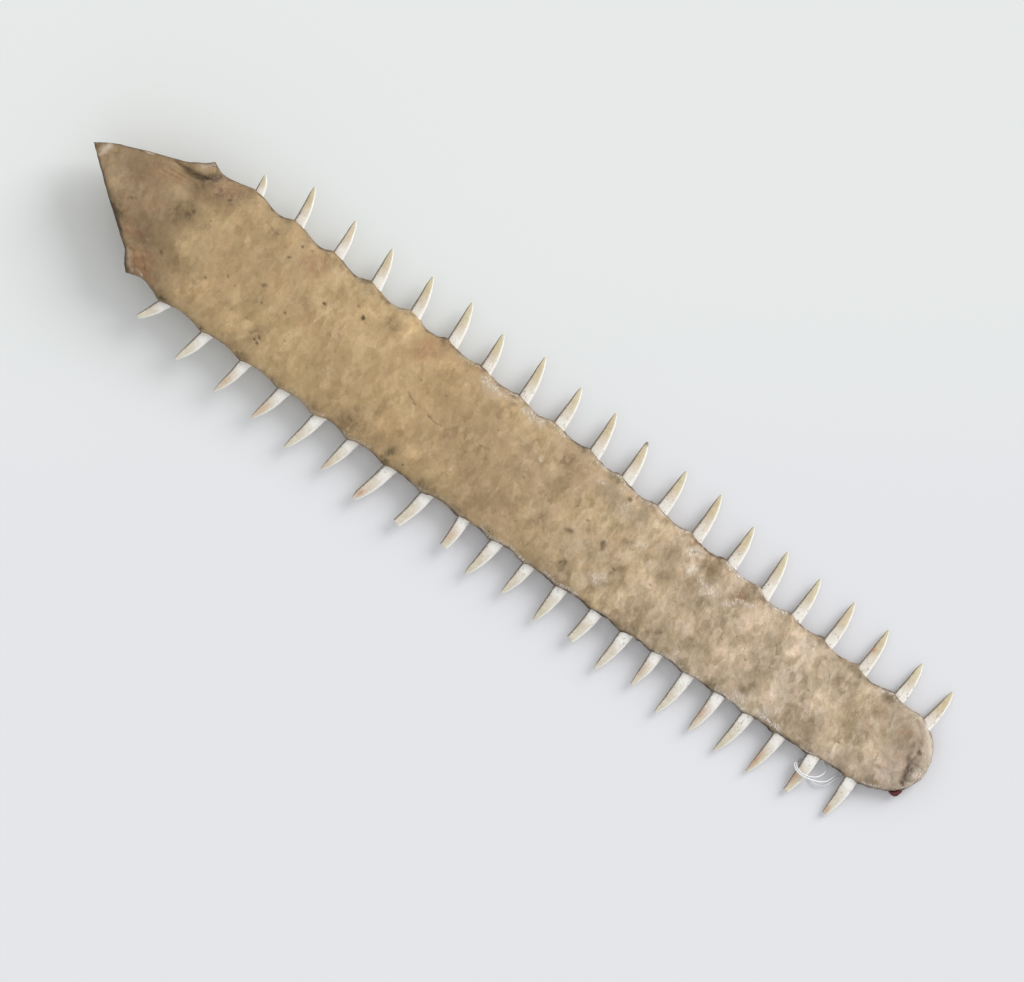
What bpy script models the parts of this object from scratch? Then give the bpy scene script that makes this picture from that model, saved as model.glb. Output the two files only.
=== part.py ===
"""Dried sawfish rostrum: a long flat blade with 41 rostral teeth, cut from the head.

The long axis lies along X, with the cut end at -X and the free end at +X.
The rostrum rests on the plane Z = 0 on the flat middle of its underside, and has dried
with its cut end bent up a little.
Every size below is in millimetres, and MM turns it into metres.
"""

import math
import random

import bmesh
import bpy
import numpy as np
from mathutils import Matrix, Vector

MM = 0.001

# Blade
LENGTH = 542.0                 # cut point to rounded end
TIP_ROUND = 30.0               # length of the rounded end
TIP_POWER_UPPER = 2.2
TIP_POWER_LOWER = 2.0
# Distance of the tooth roots from the long axis, as (place along the blade, distance)
UPPER_EDGE = ((-10, 38.9), (84, 38.4), (160, 36.4), (234, 35.0), (310, 32.9), (380, 30.3),
              (445, 27.9), (500, 26.5), (560, 26.2))
LOWER_EDGE = ((-10, 38.1), (79, 37.9), (155, 37.9), (234, 36.7), (310, 34.4), (390, 31.9),
              (445, 29.0), (490, 26.3), (513, 23.1), (560, 21.3))
THICKNESS = ((-10, 11.0), (25, 14.5), (70, 18.5), (160, 18.5), (300, 16.0), (420, 13.5),
             (500, 11.0), (560, 10.0))
MARGIN_THICKNESS = ((-10, 6.5), (60, 8.6), (160, 8.6), (300, 7.2), (500, 5.2), (560, 4.8))
BELOW_TEETH = 0.48             # share of the thickness that lies below the tooth plane
BEND_LENGTH = 189.0            # from here the blade bends up towards the cut end,
BEND_STRAIGHT = 9.0            # as a straight slope that rises this far
BEND_CURVED = 11.0             # and a curve that adds this much
REST_BASE = 15.0               # half width of the flat strip it rests on, at the cut end
REST_TIP = 11.0                # the same where the rounded end starts
REST_WAIST = 0.3               # how much narrower the strip is midway
REST_MOST = 0.45               # and its largest share of the half width
BELLY_POWER = 1.8              # how slowly the underside curves up beside the strip
CROWN_POWERS = (3.4, 1.0)
FURROW_DEPTH = 0.02            # long shallow furrow each side of the middle, of the thickness
FURROW_PLACE = 0.52
FURROW_WIDTH = 0.13
TIP_THINNING = 0.34            # power by which the rounded end gets thinner
OVERCUT = 8.0                  # the blade is made this much longer, then cut to a point
STATION_STEP = 4.2
TIP_SECTIONS = 7
END_INSET = 0.2                # the last section stands this far short of the end
ROUND_WIDE = 0.40              # width of the rounded margin, of half its thickness
ROUND_MOST = 0.45              # and most of the half width that it takes
EDGE_PLACES = (0.0, 0.15, 0.6) # points across the rounded margin, from the edge inwards
FACE_PLACES = (0.97, 0.66)     # points across the rest, from the margin inwards
STRIP_MOST = 0.8               # the strip's edge stays inside the last of them

# Notches of the edge, each from the rear side of one tooth root to that of the next.
# The first starts at the shoulder of the cut.
UPPER_SHOULDER = 53.0
LOWER_SHOULDER = 49.0
UPPER_NOTCHES = (3.8, 2.7, 2.7, 2.8, 3.0, 2.5, 1.7, 2.2, 2.6, 1.7, 1.9, 2.2, 1.9, 2.2, 2.0,
                 2.9, 2.0, 2.9, 3.0, 2.0)
LOWER_NOTCHES = (4.1, 2.5, 1.8, 1.9, 1.9, 2.3, 2.0, 1.6, 1.8, 1.4, 1.7, 1.2, 1.4, 1.5, 1.4,
                 1.3, 1.2, 1.3, 1.3, 1.5, 1.4)
# Above 1 puts the deepest place nearer the next tooth
UPPER_BIAS = ((67, 0.75), (94, 1.7), (160, 1.35), (300, 1.15), (510, 0.85))
LOWER_BIAS = ((62, 1.0), (300, 1.0), (500, 0.9))
NOTCH_POWER = 1.2              # above 1 makes them pointed at the teeth

# Cut end, as corners from the point along each side
CUT_UPPER = ((0, 8), (8.6, 13.8), (25.7, 21.3), (47, 29.4), (57, 36.8), (60, 46))
CUT_LOWER = ((0, 8), (23.6, -10.7), (46, -27), (50.3, -33.6), (53.4, -36.2), (57, -46))
CUT_MARGIN = 60.0              # the cutter reaches this far outside

# Fold of skin that curls up at the upper corner of the cut end
FOLD_START = (39.5, 23.6)
FOLD_END = (59.5, 32.2)
FOLD_WIDTH = 4.4
FOLD_RISE = 2.6
FOLD_SUNK = 4.0
FOLD_SIZES = ((0.0, 0.15), (0.25, 0.6), (0.6, 1.0), (0.85, 0.9), (1.0, 0.45))
FOLD_SHAPE = ((-0.55, 0.2), (-0.2, 0.95), (0.25, 1.0), (0.5, 0.55))
FOLD_ROOTS = (-0.5, 0.3)       # its two sides under the skin

# Teeth, base to tip along each edge
UPPER_FIRST = 84.5
UPPER_SPACING = (26, 26, 25, 25.5, 24.5, 22, 25, 23, 23.5, 21.5, 24, 23, 23, 23, 20.5,
                 21.5, 22.5, 24, 19.5)
UPPER_LENGTH = (10, 21, 20, 20.5, 22, 24, 20.5, 24.5, 23.5, 24.5, 23, 23.5, 25.5, 23, 24,
                23.5, 25, 24.5, 21.5, 22)
LOWER_FIRST = 79.0
LOWER_SPACING = (27, 25, 24.5, 23, 21.5, 24, 23.5, 23, 21, 20.5, 20.5, 22, 19.5, 19, 19.5,
                 19, 18.5, 19.5, 20.5, 23)
LOWER_LENGTH = (15.5, 20.5, 21.5, 21, 23.5, 21.5, 24.5, 21.5, 17, 22.5, 20, 21.5, 19, 24.5,
                20.5, 26, 24, 25.5, 25, 22.5, 23)
# Lean towards the free end in degrees, at the cut end and at the tip
UPPER_LEAN = (-17.0, -1.5)
LOWER_LEAN = (-19.0, 0.0)
UPPER_LEAN_OF = {1: -19, 3: -10, 9: -6, 12: -4, 15: -8, 20: 3}
LOWER_LEAN_OF = {1: -28, 3: -12, 7: -14.5, 9: 0, 12: -4, 15: -3, 18: -7, 19: -6}
DROOP = (2.0, 7.0)             # fall towards the floor in degrees, first tooth and last
TOOTH_WIDTH = ((80, 6.5), (300, 7.4), (520, 7.1))
TOOTH_FLATNESS = 0.50          # thickness over width
TOOTH_ROOT = 6.0               # length sunk into the blade
ROOT_INSET = 0.3               # how far inside the edge's line a tooth is measured from
SIZE_WOBBLE = 0.05
SMALL_TOOTH = 0.80             # width of the short first upper tooth
WORN_LOWER = (8, 9, 13)
BROAD_LOWER = (7,)
SEED = 41

# Width along a tooth, as a share of its root width
TOOTH_TAPER = ((0.0, 1.0), (0.3, 0.90), (0.6, 0.70), (0.87, 0.40), (1.0, 0.15))
BROAD_TAPER = ((0.0, 1.0), (0.3, 0.97), (0.6, 0.84), (0.87, 0.58), (1.0, 0.28))
WORN_TAPER = ((0.0, 1.0), (0.3, 0.94), (0.6, 0.82), (0.87, 0.69), (1.0, 0.62))
TOOTH_BOW = 0.03               # forward bow of the middle line, of the tooth's length
TOOTH_GROOVE = 0.10            # depth of the groove along the rear edge
ROOT_TAPER = 0.96
# Section of a tooth from its grooved rear edge round to its front edge and back
TOOTH_SECTION = ((-1.0, 0.42), (-0.3, 0.95), (0.5, 0.85), (1.0, 0.0), (0.5, -0.85),
                 (-0.3, -0.95), (-1.0, -0.42), (-1.0 + 2 * TOOTH_GROOVE, 0.0))

# Flake of dried tissue under the lower side of the free end
CHIP_CORNERS = ((531.9, -16.5), (534.8, -14.3), (537.4, -11.5), (538.3, -12.4), (537.6, -15.8),
                (536.4, -17.0), (533.4, -17.1))
CHIP_THICKNESS = 1.6
CHIP_HEIGHT = 4.2

# Nylon filament looped round the twentieth lower tooth, and its knot
FILAMENT = 0.8
FILAMENT_POINTS = 78
LOOP_ROUTE = (
    (496.4, -24.6, 1.3), (498.8, -25.6, 1.9), (499.9, -27.6, 3.0), (499.6, -30.2, 4.2),
    (497.7, -33.0, 5.3), (494.3, -35.0, 6.0), (490.6, -35.8, 6.3), (487.5, -35.1, 5.9),
    (485.6, -33.5, 4.0), (486.2, -31.7, 1.8), (488.2, -29.2, 0.6), (490.5, -25.8, 0.45),
    (492.6, -22.9, 0.45), (495.8, -21.5, 0.45), (499.8, -21.2, 0.45), (503.2, -22.0, 0.5),
    (505.1, -23.8, 1.0), (505.2, -26.4, 2.2), (504.6, -29.0, 3.4), (503.3, -31.7, 4.4),
    (500.8, -33.8, 5.2), (497.5, -35.2, 6.0), (494.0, -36.3, 6.6), (490.4, -36.7, 6.9),
    (487.1, -36.0, 6.4), (484.8, -34.4, 4.8), (484.8, -32.2, 2.4), (486.2, -29.4, 0.9),
    (488.5, -25.6, 0.45), (490.9, -22.2, 0.45), (494.8, -20.1, 0.45), (500.4, -19.8, 0.45),
    (504.8, -20.5, 0.45), (507.2, -22.3, 0.5), (507.8, -24.6, 0.9), (506.8, -27.2, 1.5),
    (505.9, -29.6, 1.9), (505.0, -32.0, 2.1), (503.7, -34.2, 2.1), (501.6, -35.6, 1.9),
    (498.8, -36.2, 1.5), (495.8, -35.9, 1.0), (493.2, -34.6, 0.6), (491.9, -32.4, 0.45),
    (492.0, -29.6, 0.45), (493.0, -27.0, 0.55), (494.2, -25.2, 0.9),
)
KNOT_CENTRE = (495.1, -23.9, 1.2)
KNOT_SIZE = (2.6, 2.0, 1.9)


def smooth_through(stations, x):
    """Height at x of a smooth curve through (x, height) stations."""
    xs = [s[0] for s in stations]
    ys = [s[1] for s in stations]
    slopes = np.gradient(ys, xs)
    i = min(max(int(np.searchsorted(xs, x)) - 1, 0), len(xs) - 2)
    step = xs[i + 1] - xs[i]
    t = min(max((x - xs[i]) / step, 0.0), 1.0)
    start = ys[i] * (2 * t**3 - 3 * t**2 + 1) + ys[i + 1] * (3 * t**2 - 2 * t**3)
    return start + step * (slopes[i] * (t**3 - 2 * t**2 + t) + slopes[i + 1] * (t**3 - t**2))


def tooth_width(x):
    return smooth_through(TOOTH_WIDTH, x)


def tooth_places(first, spacing):
    """Centre of each tooth root along the blade."""
    return [first + sum(spacing[:i]) for i in range(len(spacing) + 1)]


UPPER_TEETH = tooth_places(UPPER_FIRST, UPPER_SPACING)
LOWER_TEETH = tooth_places(LOWER_FIRST, LOWER_SPACING)


def notch(x, teeth, shoulder, depths, biases):
    """How far the edge falls back at x."""
    ends = [shoulder] + [t - tooth_width(t) / 2 for t in teeth]
    for a, b, depth in zip(ends[:-1], ends[1:], depths):
        if a < x < b:
            bias = smooth_through(biases, (a + b) / 2)
            return depth * math.sin(math.pi * ((x - a) / (b - a)) ** bias) ** NOTCH_POWER
    return 0.0


def tip_factor(x, power):
    """Narrowing of the rounded free end, 1 before it and 0 at its very end."""
    reach = min(max((x - (LENGTH - TIP_ROUND)) / TIP_ROUND, 0.0), 1.0)
    return (1.0 - reach**power) ** (1.0 / power)


def upper_edge(x):
    line = smooth_through(UPPER_EDGE, x)
    line -= notch(x, UPPER_TEETH, UPPER_SHOULDER, UPPER_NOTCHES, UPPER_BIAS)
    return line * tip_factor(x, TIP_POWER_UPPER)


def lower_edge(x):
    line = smooth_through(LOWER_EDGE, x)
    line -= notch(x, LOWER_TEETH, LOWER_SHOULDER, LOWER_NOTCHES, LOWER_BIAS)
    return line * tip_factor(x, TIP_POWER_LOWER)


def tooth_plane(x):
    """Height of the plane in which the teeth stand."""
    share = max(1.0 - x / BEND_LENGTH, 0.0)
    bend = BEND_STRAIGHT * share + BEND_CURVED * share**2
    return smooth_through(THICKNESS, x) * BELOW_TEETH + bend


def rest_half_width(x, width):
    """Half width of the flat strip under the blade at x."""
    along = min(max(x / (LENGTH - TIP_ROUND), 0.0), 1.0)
    strip = REST_BASE + (REST_TIP - REST_BASE) * along - REST_WAIST * math.sin(math.pi * along)
    return min(strip, REST_MOST * width)


def section_heights(x, from_axis, width):
    """Lowest and highest point of the blade at x, from_axis mm out of width."""
    thin = tip_factor(x, TIP_POWER_LOWER) ** TIP_THINNING
    total = smooth_through(THICKNESS, x) * thin
    margin = smooth_through(MARGIN_THICKNESS, x) / 2 * thin
    middle = tooth_plane(x)
    below = total * BELOW_TEETH
    above = total - below
    share = from_axis / width
    inside = min((width - from_axis) / (margin * ROUND_WIDE), 1.0)
    rounding = math.sqrt(1.0 - (1.0 - inside) ** 2)
    furrow = FURROW_DEPTH * total * math.exp(-((share - FURROW_PLACE) / FURROW_WIDTH) ** 2)
    slope = (1.0 - share ** CROWN_POWERS[0]) ** CROWN_POWERS[1]
    crown = margin + (above - margin) * slope - furrow
    strip = rest_half_width(x, width)
    lift = (max(from_axis - strip, 0.0) / (width - strip)) ** BELLY_POWER
    belly = margin + (below - margin) * (1.0 - lift)
    return middle - belly * rounding, middle + crown * rounding


def section(x):
    """Closed ring of points round the blade at x."""
    upper, lower = upper_edge(x), lower_edge(x)
    margin = smooth_through(MARGIN_THICKNESS, x) / 2
    places = []
    for width in (upper, lower):
        round_part = min(margin * ROUND_WIDE, ROUND_MOST * width)
        flat_part = width - round_part
        face = [s * flat_part for s in FACE_PLACES]
        strip = min(rest_half_width(x, width), STRIP_MOST * face[-1])
        places.append([width - s * round_part for s in EDGE_PLACES] + face + [strip])
    across = places[0] + [0.0] + [-y for y in reversed(places[1])]
    top, bottom = [], []
    for y in across:
        low, high = section_heights(x, abs(y), upper if y > 0 else lower)
        top.append((x, y, high))
        bottom.append((x, y, low))
    return top + bottom[-2:0:-1]


def mesh_object(name, vertices, faces, collection):
    """Object from points in mm."""
    mesh = bpy.data.meshes.new(name)
    mesh.from_pydata([Vector(v) * MM for v in vertices], [], faces)
    solid = bmesh.new()
    solid.from_mesh(mesh)
    bmesh.ops.recalc_face_normals(solid, faces=solid.faces)
    bmesh.ops.triangulate(solid, faces=solid.faces)
    solid.to_mesh(mesh)
    solid.free()
    obj = bpy.data.objects.new(name, mesh)
    collection.objects.link(obj)
    return obj


def loft(name, rings, collection):
    """Closed body through rings of equal length, capped at both ends."""
    count = len(rings[0])
    vertices = [point for ring in rings for point in ring]
    faces = []
    for r in range(len(rings) - 1):
        for i in range(count):
            j = (i + 1) % count
            faces.append((r * count + i, r * count + j, (r + 1) * count + j, (r + 1) * count + i))
    faces.append(tuple(range(count)))
    faces.append(tuple((len(rings) - 1) * count + i for i in range(count)))
    return mesh_object(name, vertices, faces, collection)


def make_blade(collection):
    start = -OVERCUT
    straight = LENGTH - TIP_ROUND
    steps = round((straight - start) / STATION_STEP)
    places = [start + (straight - start) * i / steps for i in range(steps + 1)]
    for i in range(1, TIP_SECTIONS):
        places.append(straight + TIP_ROUND * math.sin(math.pi / 2 * i / TIP_SECTIONS))
    places.append(LENGTH - END_INSET)
    return loft("blade", [section(x) for x in places], collection)


def make_cut(collection):
    """Everything outside the arrow-shaped cut end."""
    corners = list(reversed(CUT_UPPER)) + list(CUT_LOWER[1:])
    corners += [(CUT_LOWER[-1][0], -CUT_MARGIN), (-CUT_MARGIN, -CUT_MARGIN),
                (-CUT_MARGIN, CUT_MARGIN), (CUT_UPPER[-1][0], CUT_MARGIN)]
    outline = bpy.data.curves.new("cut_outline", "CURVE")
    outline.dimensions = "2D"
    outline.fill_mode = "BOTH"
    outline.extrude = CUT_MARGIN * MM
    spline = outline.splines.new("POLY")
    spline.points.add(len(corners) - 1)
    for point, (x, y) in zip(spline.points, corners):
        point.co = (x * MM, y * MM, 0.0, 1.0)
    spline.use_cyclic_u = True
    curve = bpy.data.objects.new("cut_outline", outline)
    collection.objects.link(curve)
    cutter = as_mesh(curve, "cut_outside")
    cutter.hide_render = True
    cutter.display_type = "WIRE"
    return cutter


def as_mesh(curve, name):
    """Mesh object from a curve, with its caps welded on."""
    bpy.context.view_layer.update()
    evaluated = curve.evaluated_get(bpy.context.evaluated_depsgraph_get())
    mesh = bpy.data.meshes.new_from_object(evaluated)
    solid = bmesh.new()
    solid.from_mesh(mesh)
    bmesh.ops.remove_doubles(solid, verts=solid.verts, dist=1e-6)
    bmesh.ops.recalc_face_normals(solid, faces=solid.faces)
    solid.to_mesh(mesh)
    solid.free()
    obj = bpy.data.objects.new(name, mesh)
    obj.matrix_world = curve.matrix_world.copy()
    curve.users_collection[0].objects.link(obj)
    bpy.data.objects.remove(curve)
    return obj


def tooth_ring(out, width, shift):
    """Eight points round a tooth at the distance out from its root."""
    half = width / 2
    thick = width * TOOTH_FLATNESS / 2
    return [(shift + half * a, out, thick * b) for a, b in TOOTH_SECTION]


def make_tooth(name, side, place, length, lean, droop, width, taper, collection):
    """One tooth, standing out from the edge at place.

    side is 1 for the upper edge and -1 for the lower one.
    """
    rings = [tooth_ring(-TOOTH_ROOT, width * ROOT_TAPER, 0.0)]
    for share, size in taper:
        bow = TOOTH_BOW * length * math.sin(math.pi * share)
        rings.append(tooth_ring(length * share, width * size, bow))
    tooth = loft(name, rings, collection)
    edge = smooth_through(UPPER_EDGE if side > 0 else LOWER_EDGE, place) - ROOT_INSET
    if place > LENGTH - TIP_ROUND:
        edge *= tip_factor(place, TIP_POWER_UPPER if side > 0 else TIP_POWER_LOWER)
    lean_turn = Matrix.Rotation(math.radians(-lean), 4, "Z")
    droop_turn = Matrix.Rotation(math.radians(-droop), 4, "X")
    mirror = Matrix.Diagonal((1.0, side, 1.0, 1.0))
    root = Matrix.Translation(Vector((place, side * edge, tooth_plane(place))) * MM)
    turn = root @ mirror @ lean_turn @ droop_turn
    tooth.data.transform(turn)
    if side < 0:
        tooth.data.flip_normals()


def make_teeth(collection):
    rng = random.Random(SEED)
    sides = ((1, UPPER_TEETH, UPPER_LENGTH, UPPER_LEAN, UPPER_LEAN_OF),
             (-1, LOWER_TEETH, LOWER_LENGTH, LOWER_LEAN, LOWER_LEAN_OF))
    for side, places, lengths, leans, lean_of in sides:
        for number, (place, length) in enumerate(zip(places, lengths), start=1):
            along = place / LENGTH
            lean = lean_of.get(number, leans[0] + (leans[1] - leans[0]) * along)
            droop = DROOP[0] + (DROOP[1] - DROOP[0]) * along
            width = tooth_width(place) * (1.0 + SIZE_WOBBLE * rng.uniform(-1, 1))
            taper = TOOTH_TAPER
            if side > 0 and number == 1:
                width *= SMALL_TOOTH
            if side < 0 and number in WORN_LOWER:
                taper = WORN_TAPER
            if side < 0 and number in BROAD_LOWER:
                taper = BROAD_TAPER
            name = f"tooth_{'upper' if side > 0 else 'lower'}_{number}"
            make_tooth(name, side, place, length, lean, droop, width, taper, collection)


def make_fold(collection):
    """Lip of curled skin, a tapered ridge that leans inwards."""
    start, end = Vector(FOLD_START), Vector(FOLD_END)
    along = (end - start).normalized()
    inward = Vector((along.y, -along.x))
    rings = []
    for share, size in FOLD_SIZES:
        middle = start.lerp(end, share)
        top = section_heights(middle.x, middle.y, upper_edge(middle.x))[1]
        profile = [(across, top + rise * FOLD_RISE * size) for across, rise in FOLD_SHAPE]
        profile = ([(FOLD_ROOTS[0], top - FOLD_SUNK)] + profile
                   + [(FOLD_ROOTS[1], top - FOLD_SUNK)])
        ring = []
        for across, height in profile:
            place = middle + inward * across * FOLD_WIDTH * size
            ring.append((place.x, place.y, height))
        rings.append(ring)
    return loft("fold", rings, collection)


def join_by_union(target, pieces_collection):
    """Fuses a collection of closed meshes to the target and removes them."""
    union = target.modifiers.new("join", "BOOLEAN")
    union.operation = "UNION"
    union.operand_type = "COLLECTION"
    union.collection = pieces_collection
    union.solver = "EXACT"
    apply_modifiers(target)
    for piece in list(pieces_collection.objects):
        bpy.data.objects.remove(piece)
    bpy.data.collections.remove(pieces_collection)


def cut_away(target, cutter):
    cut = target.modifiers.new("cut", "BOOLEAN")
    cut.operation = "DIFFERENCE"
    cut.object = cutter
    cut.solver = "EXACT"
    apply_modifiers(target)


def apply_modifiers(obj):
    bpy.context.view_layer.update()
    evaluated = obj.evaluated_get(bpy.context.evaluated_depsgraph_get())
    mesh = bpy.data.meshes.new_from_object(evaluated)
    obj.modifiers.clear()
    obj.data = mesh


def keep_largest(obj):
    """Drops every closed surface of the mesh but the largest."""
    solid = bmesh.new()
    solid.from_mesh(obj.data)
    left = set(solid.verts)
    groups = []
    while left:
        seed = left.pop()
        group, front = {seed}, [seed]
        while front:
            for edge in front.pop().link_edges:
                for vert in edge.verts:
                    if vert in left:
                        left.discard(vert)
                        group.add(vert)
                        front.append(vert)
        groups.append(group)
    groups.sort(key=len)
    for group in groups[:-1]:
        bmesh.ops.delete(solid, geom=list(group), context="VERTS")
    solid.to_mesh(obj.data)
    solid.free()


def make_chip(collection):
    low = CHIP_HEIGHT - CHIP_THICKNESS / 2
    high = CHIP_HEIGHT + CHIP_THICKNESS / 2
    rings = [[(x, y, z) for x, y in CHIP_CORNERS] for z in (low, high)]
    return loft("tip_chip", rings, collection)


def smooth_route(points, count):
    """Evenly spaced points on a smooth curve through the route's own points."""
    route = np.array(points)
    fine = []
    for i in range(len(route) - 1):
        before = route[max(i - 1, 0)]
        after = route[min(i + 2, len(route) - 1)]
        a, b = route[i], route[i + 1]
        for t in np.linspace(0.0, 1.0, 24, endpoint=False):
            fine.append(0.5 * (2 * a + (b - before) * t
                               + (2 * before - 5 * a + 4 * b - after) * t**2
                               + (3 * a - before - 3 * b + after) * t**3))
    fine.append(route[-1])
    fine = np.array(fine)
    travel = np.concatenate([[0.0], np.cumsum(np.linalg.norm(np.diff(fine, axis=0), axis=1))])
    stops = np.linspace(0.0, travel[-1], count)
    return np.column_stack([np.interp(stops, travel, fine[:, k]) for k in range(3)])


def make_loop(collection):
    curve = bpy.data.curves.new("tag_loop", "CURVE")
    curve.dimensions = "3D"
    curve.bevel_depth = FILAMENT / 2 * MM
    curve.bevel_resolution = 2
    curve.use_fill_caps = True
    spline = curve.splines.new("POLY")
    route = smooth_route(LOOP_ROUTE, FILAMENT_POINTS)
    spline.points.add(len(route) - 1)
    for point, place in zip(spline.points, route):
        point.co = (*(Vector(place) * MM), 1.0)
    obj = bpy.data.objects.new("tag_loop", curve)
    collection.objects.link(obj)
    return obj


def make_knot(collection):
    bpy.ops.mesh.primitive_uv_sphere_add(segments=12, ring_count=8, radius=0.5 * MM)
    knot = bpy.context.active_object
    knot.name = "tag_knot"
    knot.data.name = "tag_knot"
    knot.data.transform(Matrix.Diagonal((*KNOT_SIZE, 1.0)))
    knot.location = Vector(KNOT_CENTRE) * MM
    for owner in list(knot.users_collection):
        owner.objects.unlink(knot)
    collection.objects.link(knot)
    knot.data.shade_smooth()
    return knot


def give_material(obj, name, colour, roughness):
    material = bpy.data.materials.new(name)
    material.use_nodes = True
    shader = material.node_tree.nodes["Principled BSDF"]
    shader.inputs["Base Color"].default_value = (*colour, 1.0)
    shader.inputs["Roughness"].default_value = roughness
    shader.inputs["Metallic"].default_value = 0.0
    obj.data.materials.clear()
    obj.data.materials.append(material)


def new_collection(name):
    collection = bpy.data.collections.new(name)
    bpy.context.scene.collection.children.link(collection)
    return collection


def main():
    for old in list(bpy.data.objects):
        bpy.data.objects.remove(old)
    model = new_collection("sawfish_rostrum")
    cutters = new_collection("cutters")
    pieces = new_collection("pieces")

    rostrum = make_blade(model)
    rostrum.name = "rostrum"
    rostrum.data.name = "rostrum"
    cut_away(rostrum, make_cut(cutters))
    make_teeth(pieces)
    make_fold(pieces)
    join_by_union(rostrum, pieces)
    keep_largest(rostrum)
    rostrum.data.shade_smooth()
    rostrum.data.set_sharp_from_angle(angle=math.radians(38))
    chip = make_chip(model)
    loop = make_loop(model)
    knot = make_knot(model)

    middle = Matrix.Translation((-LENGTH / 2 * MM, 0.0, 0.0))
    for obj in (rostrum, chip, loop):
        obj.data.transform(middle)
    knot.location.x -= LENGTH / 2 * MM

    give_material(rostrum, "dried_skin", (0.42, 0.32, 0.20), 0.7)
    give_material(chip, "dried_tissue", (0.12, 0.03, 0.03), 0.5)
    give_material(loop, "nylon_filament", (0.85, 0.86, 0.86), 0.2)
    give_material(knot, "nylon_knot", (0.85, 0.86, 0.86), 0.25)


main()
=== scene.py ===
"""Looks of the dried sawfish rostrum: skin, teeth, cut end, filament loop and flake of tissue.

Sizes are in millimetres and measured as in the part's source: x from the point of the cut end
along the blade, y towards the edge with twenty teeth, z up from the surface it lies on.
"""

import math
import random

import bpy
import numpy as np
from mathutils import Matrix, Vector


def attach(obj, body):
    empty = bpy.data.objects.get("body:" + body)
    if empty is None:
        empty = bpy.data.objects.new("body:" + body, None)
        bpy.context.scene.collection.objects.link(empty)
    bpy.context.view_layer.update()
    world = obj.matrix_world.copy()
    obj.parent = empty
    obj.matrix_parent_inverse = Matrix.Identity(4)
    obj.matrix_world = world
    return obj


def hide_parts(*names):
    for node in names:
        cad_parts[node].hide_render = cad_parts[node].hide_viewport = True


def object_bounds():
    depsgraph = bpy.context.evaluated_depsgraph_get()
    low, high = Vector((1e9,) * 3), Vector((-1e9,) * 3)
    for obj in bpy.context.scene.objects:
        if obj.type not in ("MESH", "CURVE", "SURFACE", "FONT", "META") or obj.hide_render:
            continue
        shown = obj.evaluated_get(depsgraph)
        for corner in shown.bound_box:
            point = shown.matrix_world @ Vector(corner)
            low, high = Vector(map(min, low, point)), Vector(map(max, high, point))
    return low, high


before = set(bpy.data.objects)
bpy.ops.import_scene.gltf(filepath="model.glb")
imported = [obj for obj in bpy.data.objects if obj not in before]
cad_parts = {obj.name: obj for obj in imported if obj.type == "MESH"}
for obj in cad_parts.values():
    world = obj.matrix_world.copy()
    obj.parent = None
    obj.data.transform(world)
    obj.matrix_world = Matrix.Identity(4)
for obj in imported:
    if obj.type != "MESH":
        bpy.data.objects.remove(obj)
CAD_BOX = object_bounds()

MM = 0.001

# Blade
LENGTH = 542.0
MIDDLE = LENGTH / 2            # place of the frame's origin
TIP_ROUND = 30.0
TIP_POWER_UPPER = 2.2
TIP_POWER_LOWER = 2.0
UPPER_EDGE = ((-10, 38.9), (84, 38.4), (160, 36.4), (234, 35.0), (310, 32.9), (380, 30.3),
              (445, 27.9), (500, 26.5), (560, 26.2))
LOWER_EDGE = ((-10, 38.1), (79, 37.9), (155, 37.9), (234, 36.7), (310, 34.4), (390, 31.9),
              (445, 29.0), (490, 26.3), (513, 23.1), (560, 21.3))
THICKNESS = ((-10, 11.0), (25, 14.5), (70, 18.5), (160, 18.5), (300, 16.0), (420, 13.5),
             (500, 11.0), (560, 10.0))
MARGIN_THICKNESS = ((-10, 6.5), (60, 8.6), (160, 8.6), (300, 7.2), (500, 5.2), (560, 4.8))
BELOW_TEETH = 0.48
BEND_LENGTH, BEND_STRAIGHT, BEND_CURVED = 189.0, 9.0, 11.0
REST_BASE, REST_TIP, REST_WAIST, REST_MOST = 15.0, 11.0, 0.3, 0.45
BELLY_POWER = 1.8
CROWN_POWERS = (3.4, 1.0)
FURROW_DEPTH, FURROW_PLACE, FURROW_WIDTH = 0.02, 0.52, 0.13
TIP_THINNING = 0.34
ROUND_WIDE, ROUND_MOST = 0.40, 0.45

# Notches between the teeth
UPPER_SHOULDER, LOWER_SHOULDER = 53.0, 49.0
UPPER_NOTCHES = (3.8, 2.7, 2.7, 2.8, 3.0, 2.5, 1.7, 2.2, 2.6, 1.7, 1.9, 2.2, 1.9, 2.2, 2.0,
                 2.9, 2.0, 2.9, 3.0, 2.0)
LOWER_NOTCHES = (4.1, 2.5, 1.8, 1.9, 1.9, 2.3, 2.0, 1.6, 1.8, 1.4, 1.7, 1.2, 1.4, 1.5, 1.4,
                 1.3, 1.2, 1.3, 1.3, 1.5, 1.4)
UPPER_BIAS = ((67, 0.75), (94, 1.7), (160, 1.35), (300, 1.15), (510, 0.85))
LOWER_BIAS = ((62, 1.0), (300, 1.0), (500, 0.9))
NOTCH_POWER = 1.2

# Cut end, corners as (x, y) from the lower shoulder to the upper one
CUT_CORNERS = ((57, -46), (53.4, -36.2), (50.3, -33.6), (46, -27), (23.6, -10.7), (0, 8),
               (8.6, 13.8), (25.7, 21.3), (47, 29.4), (57, 36.8), (60, 46))

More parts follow.
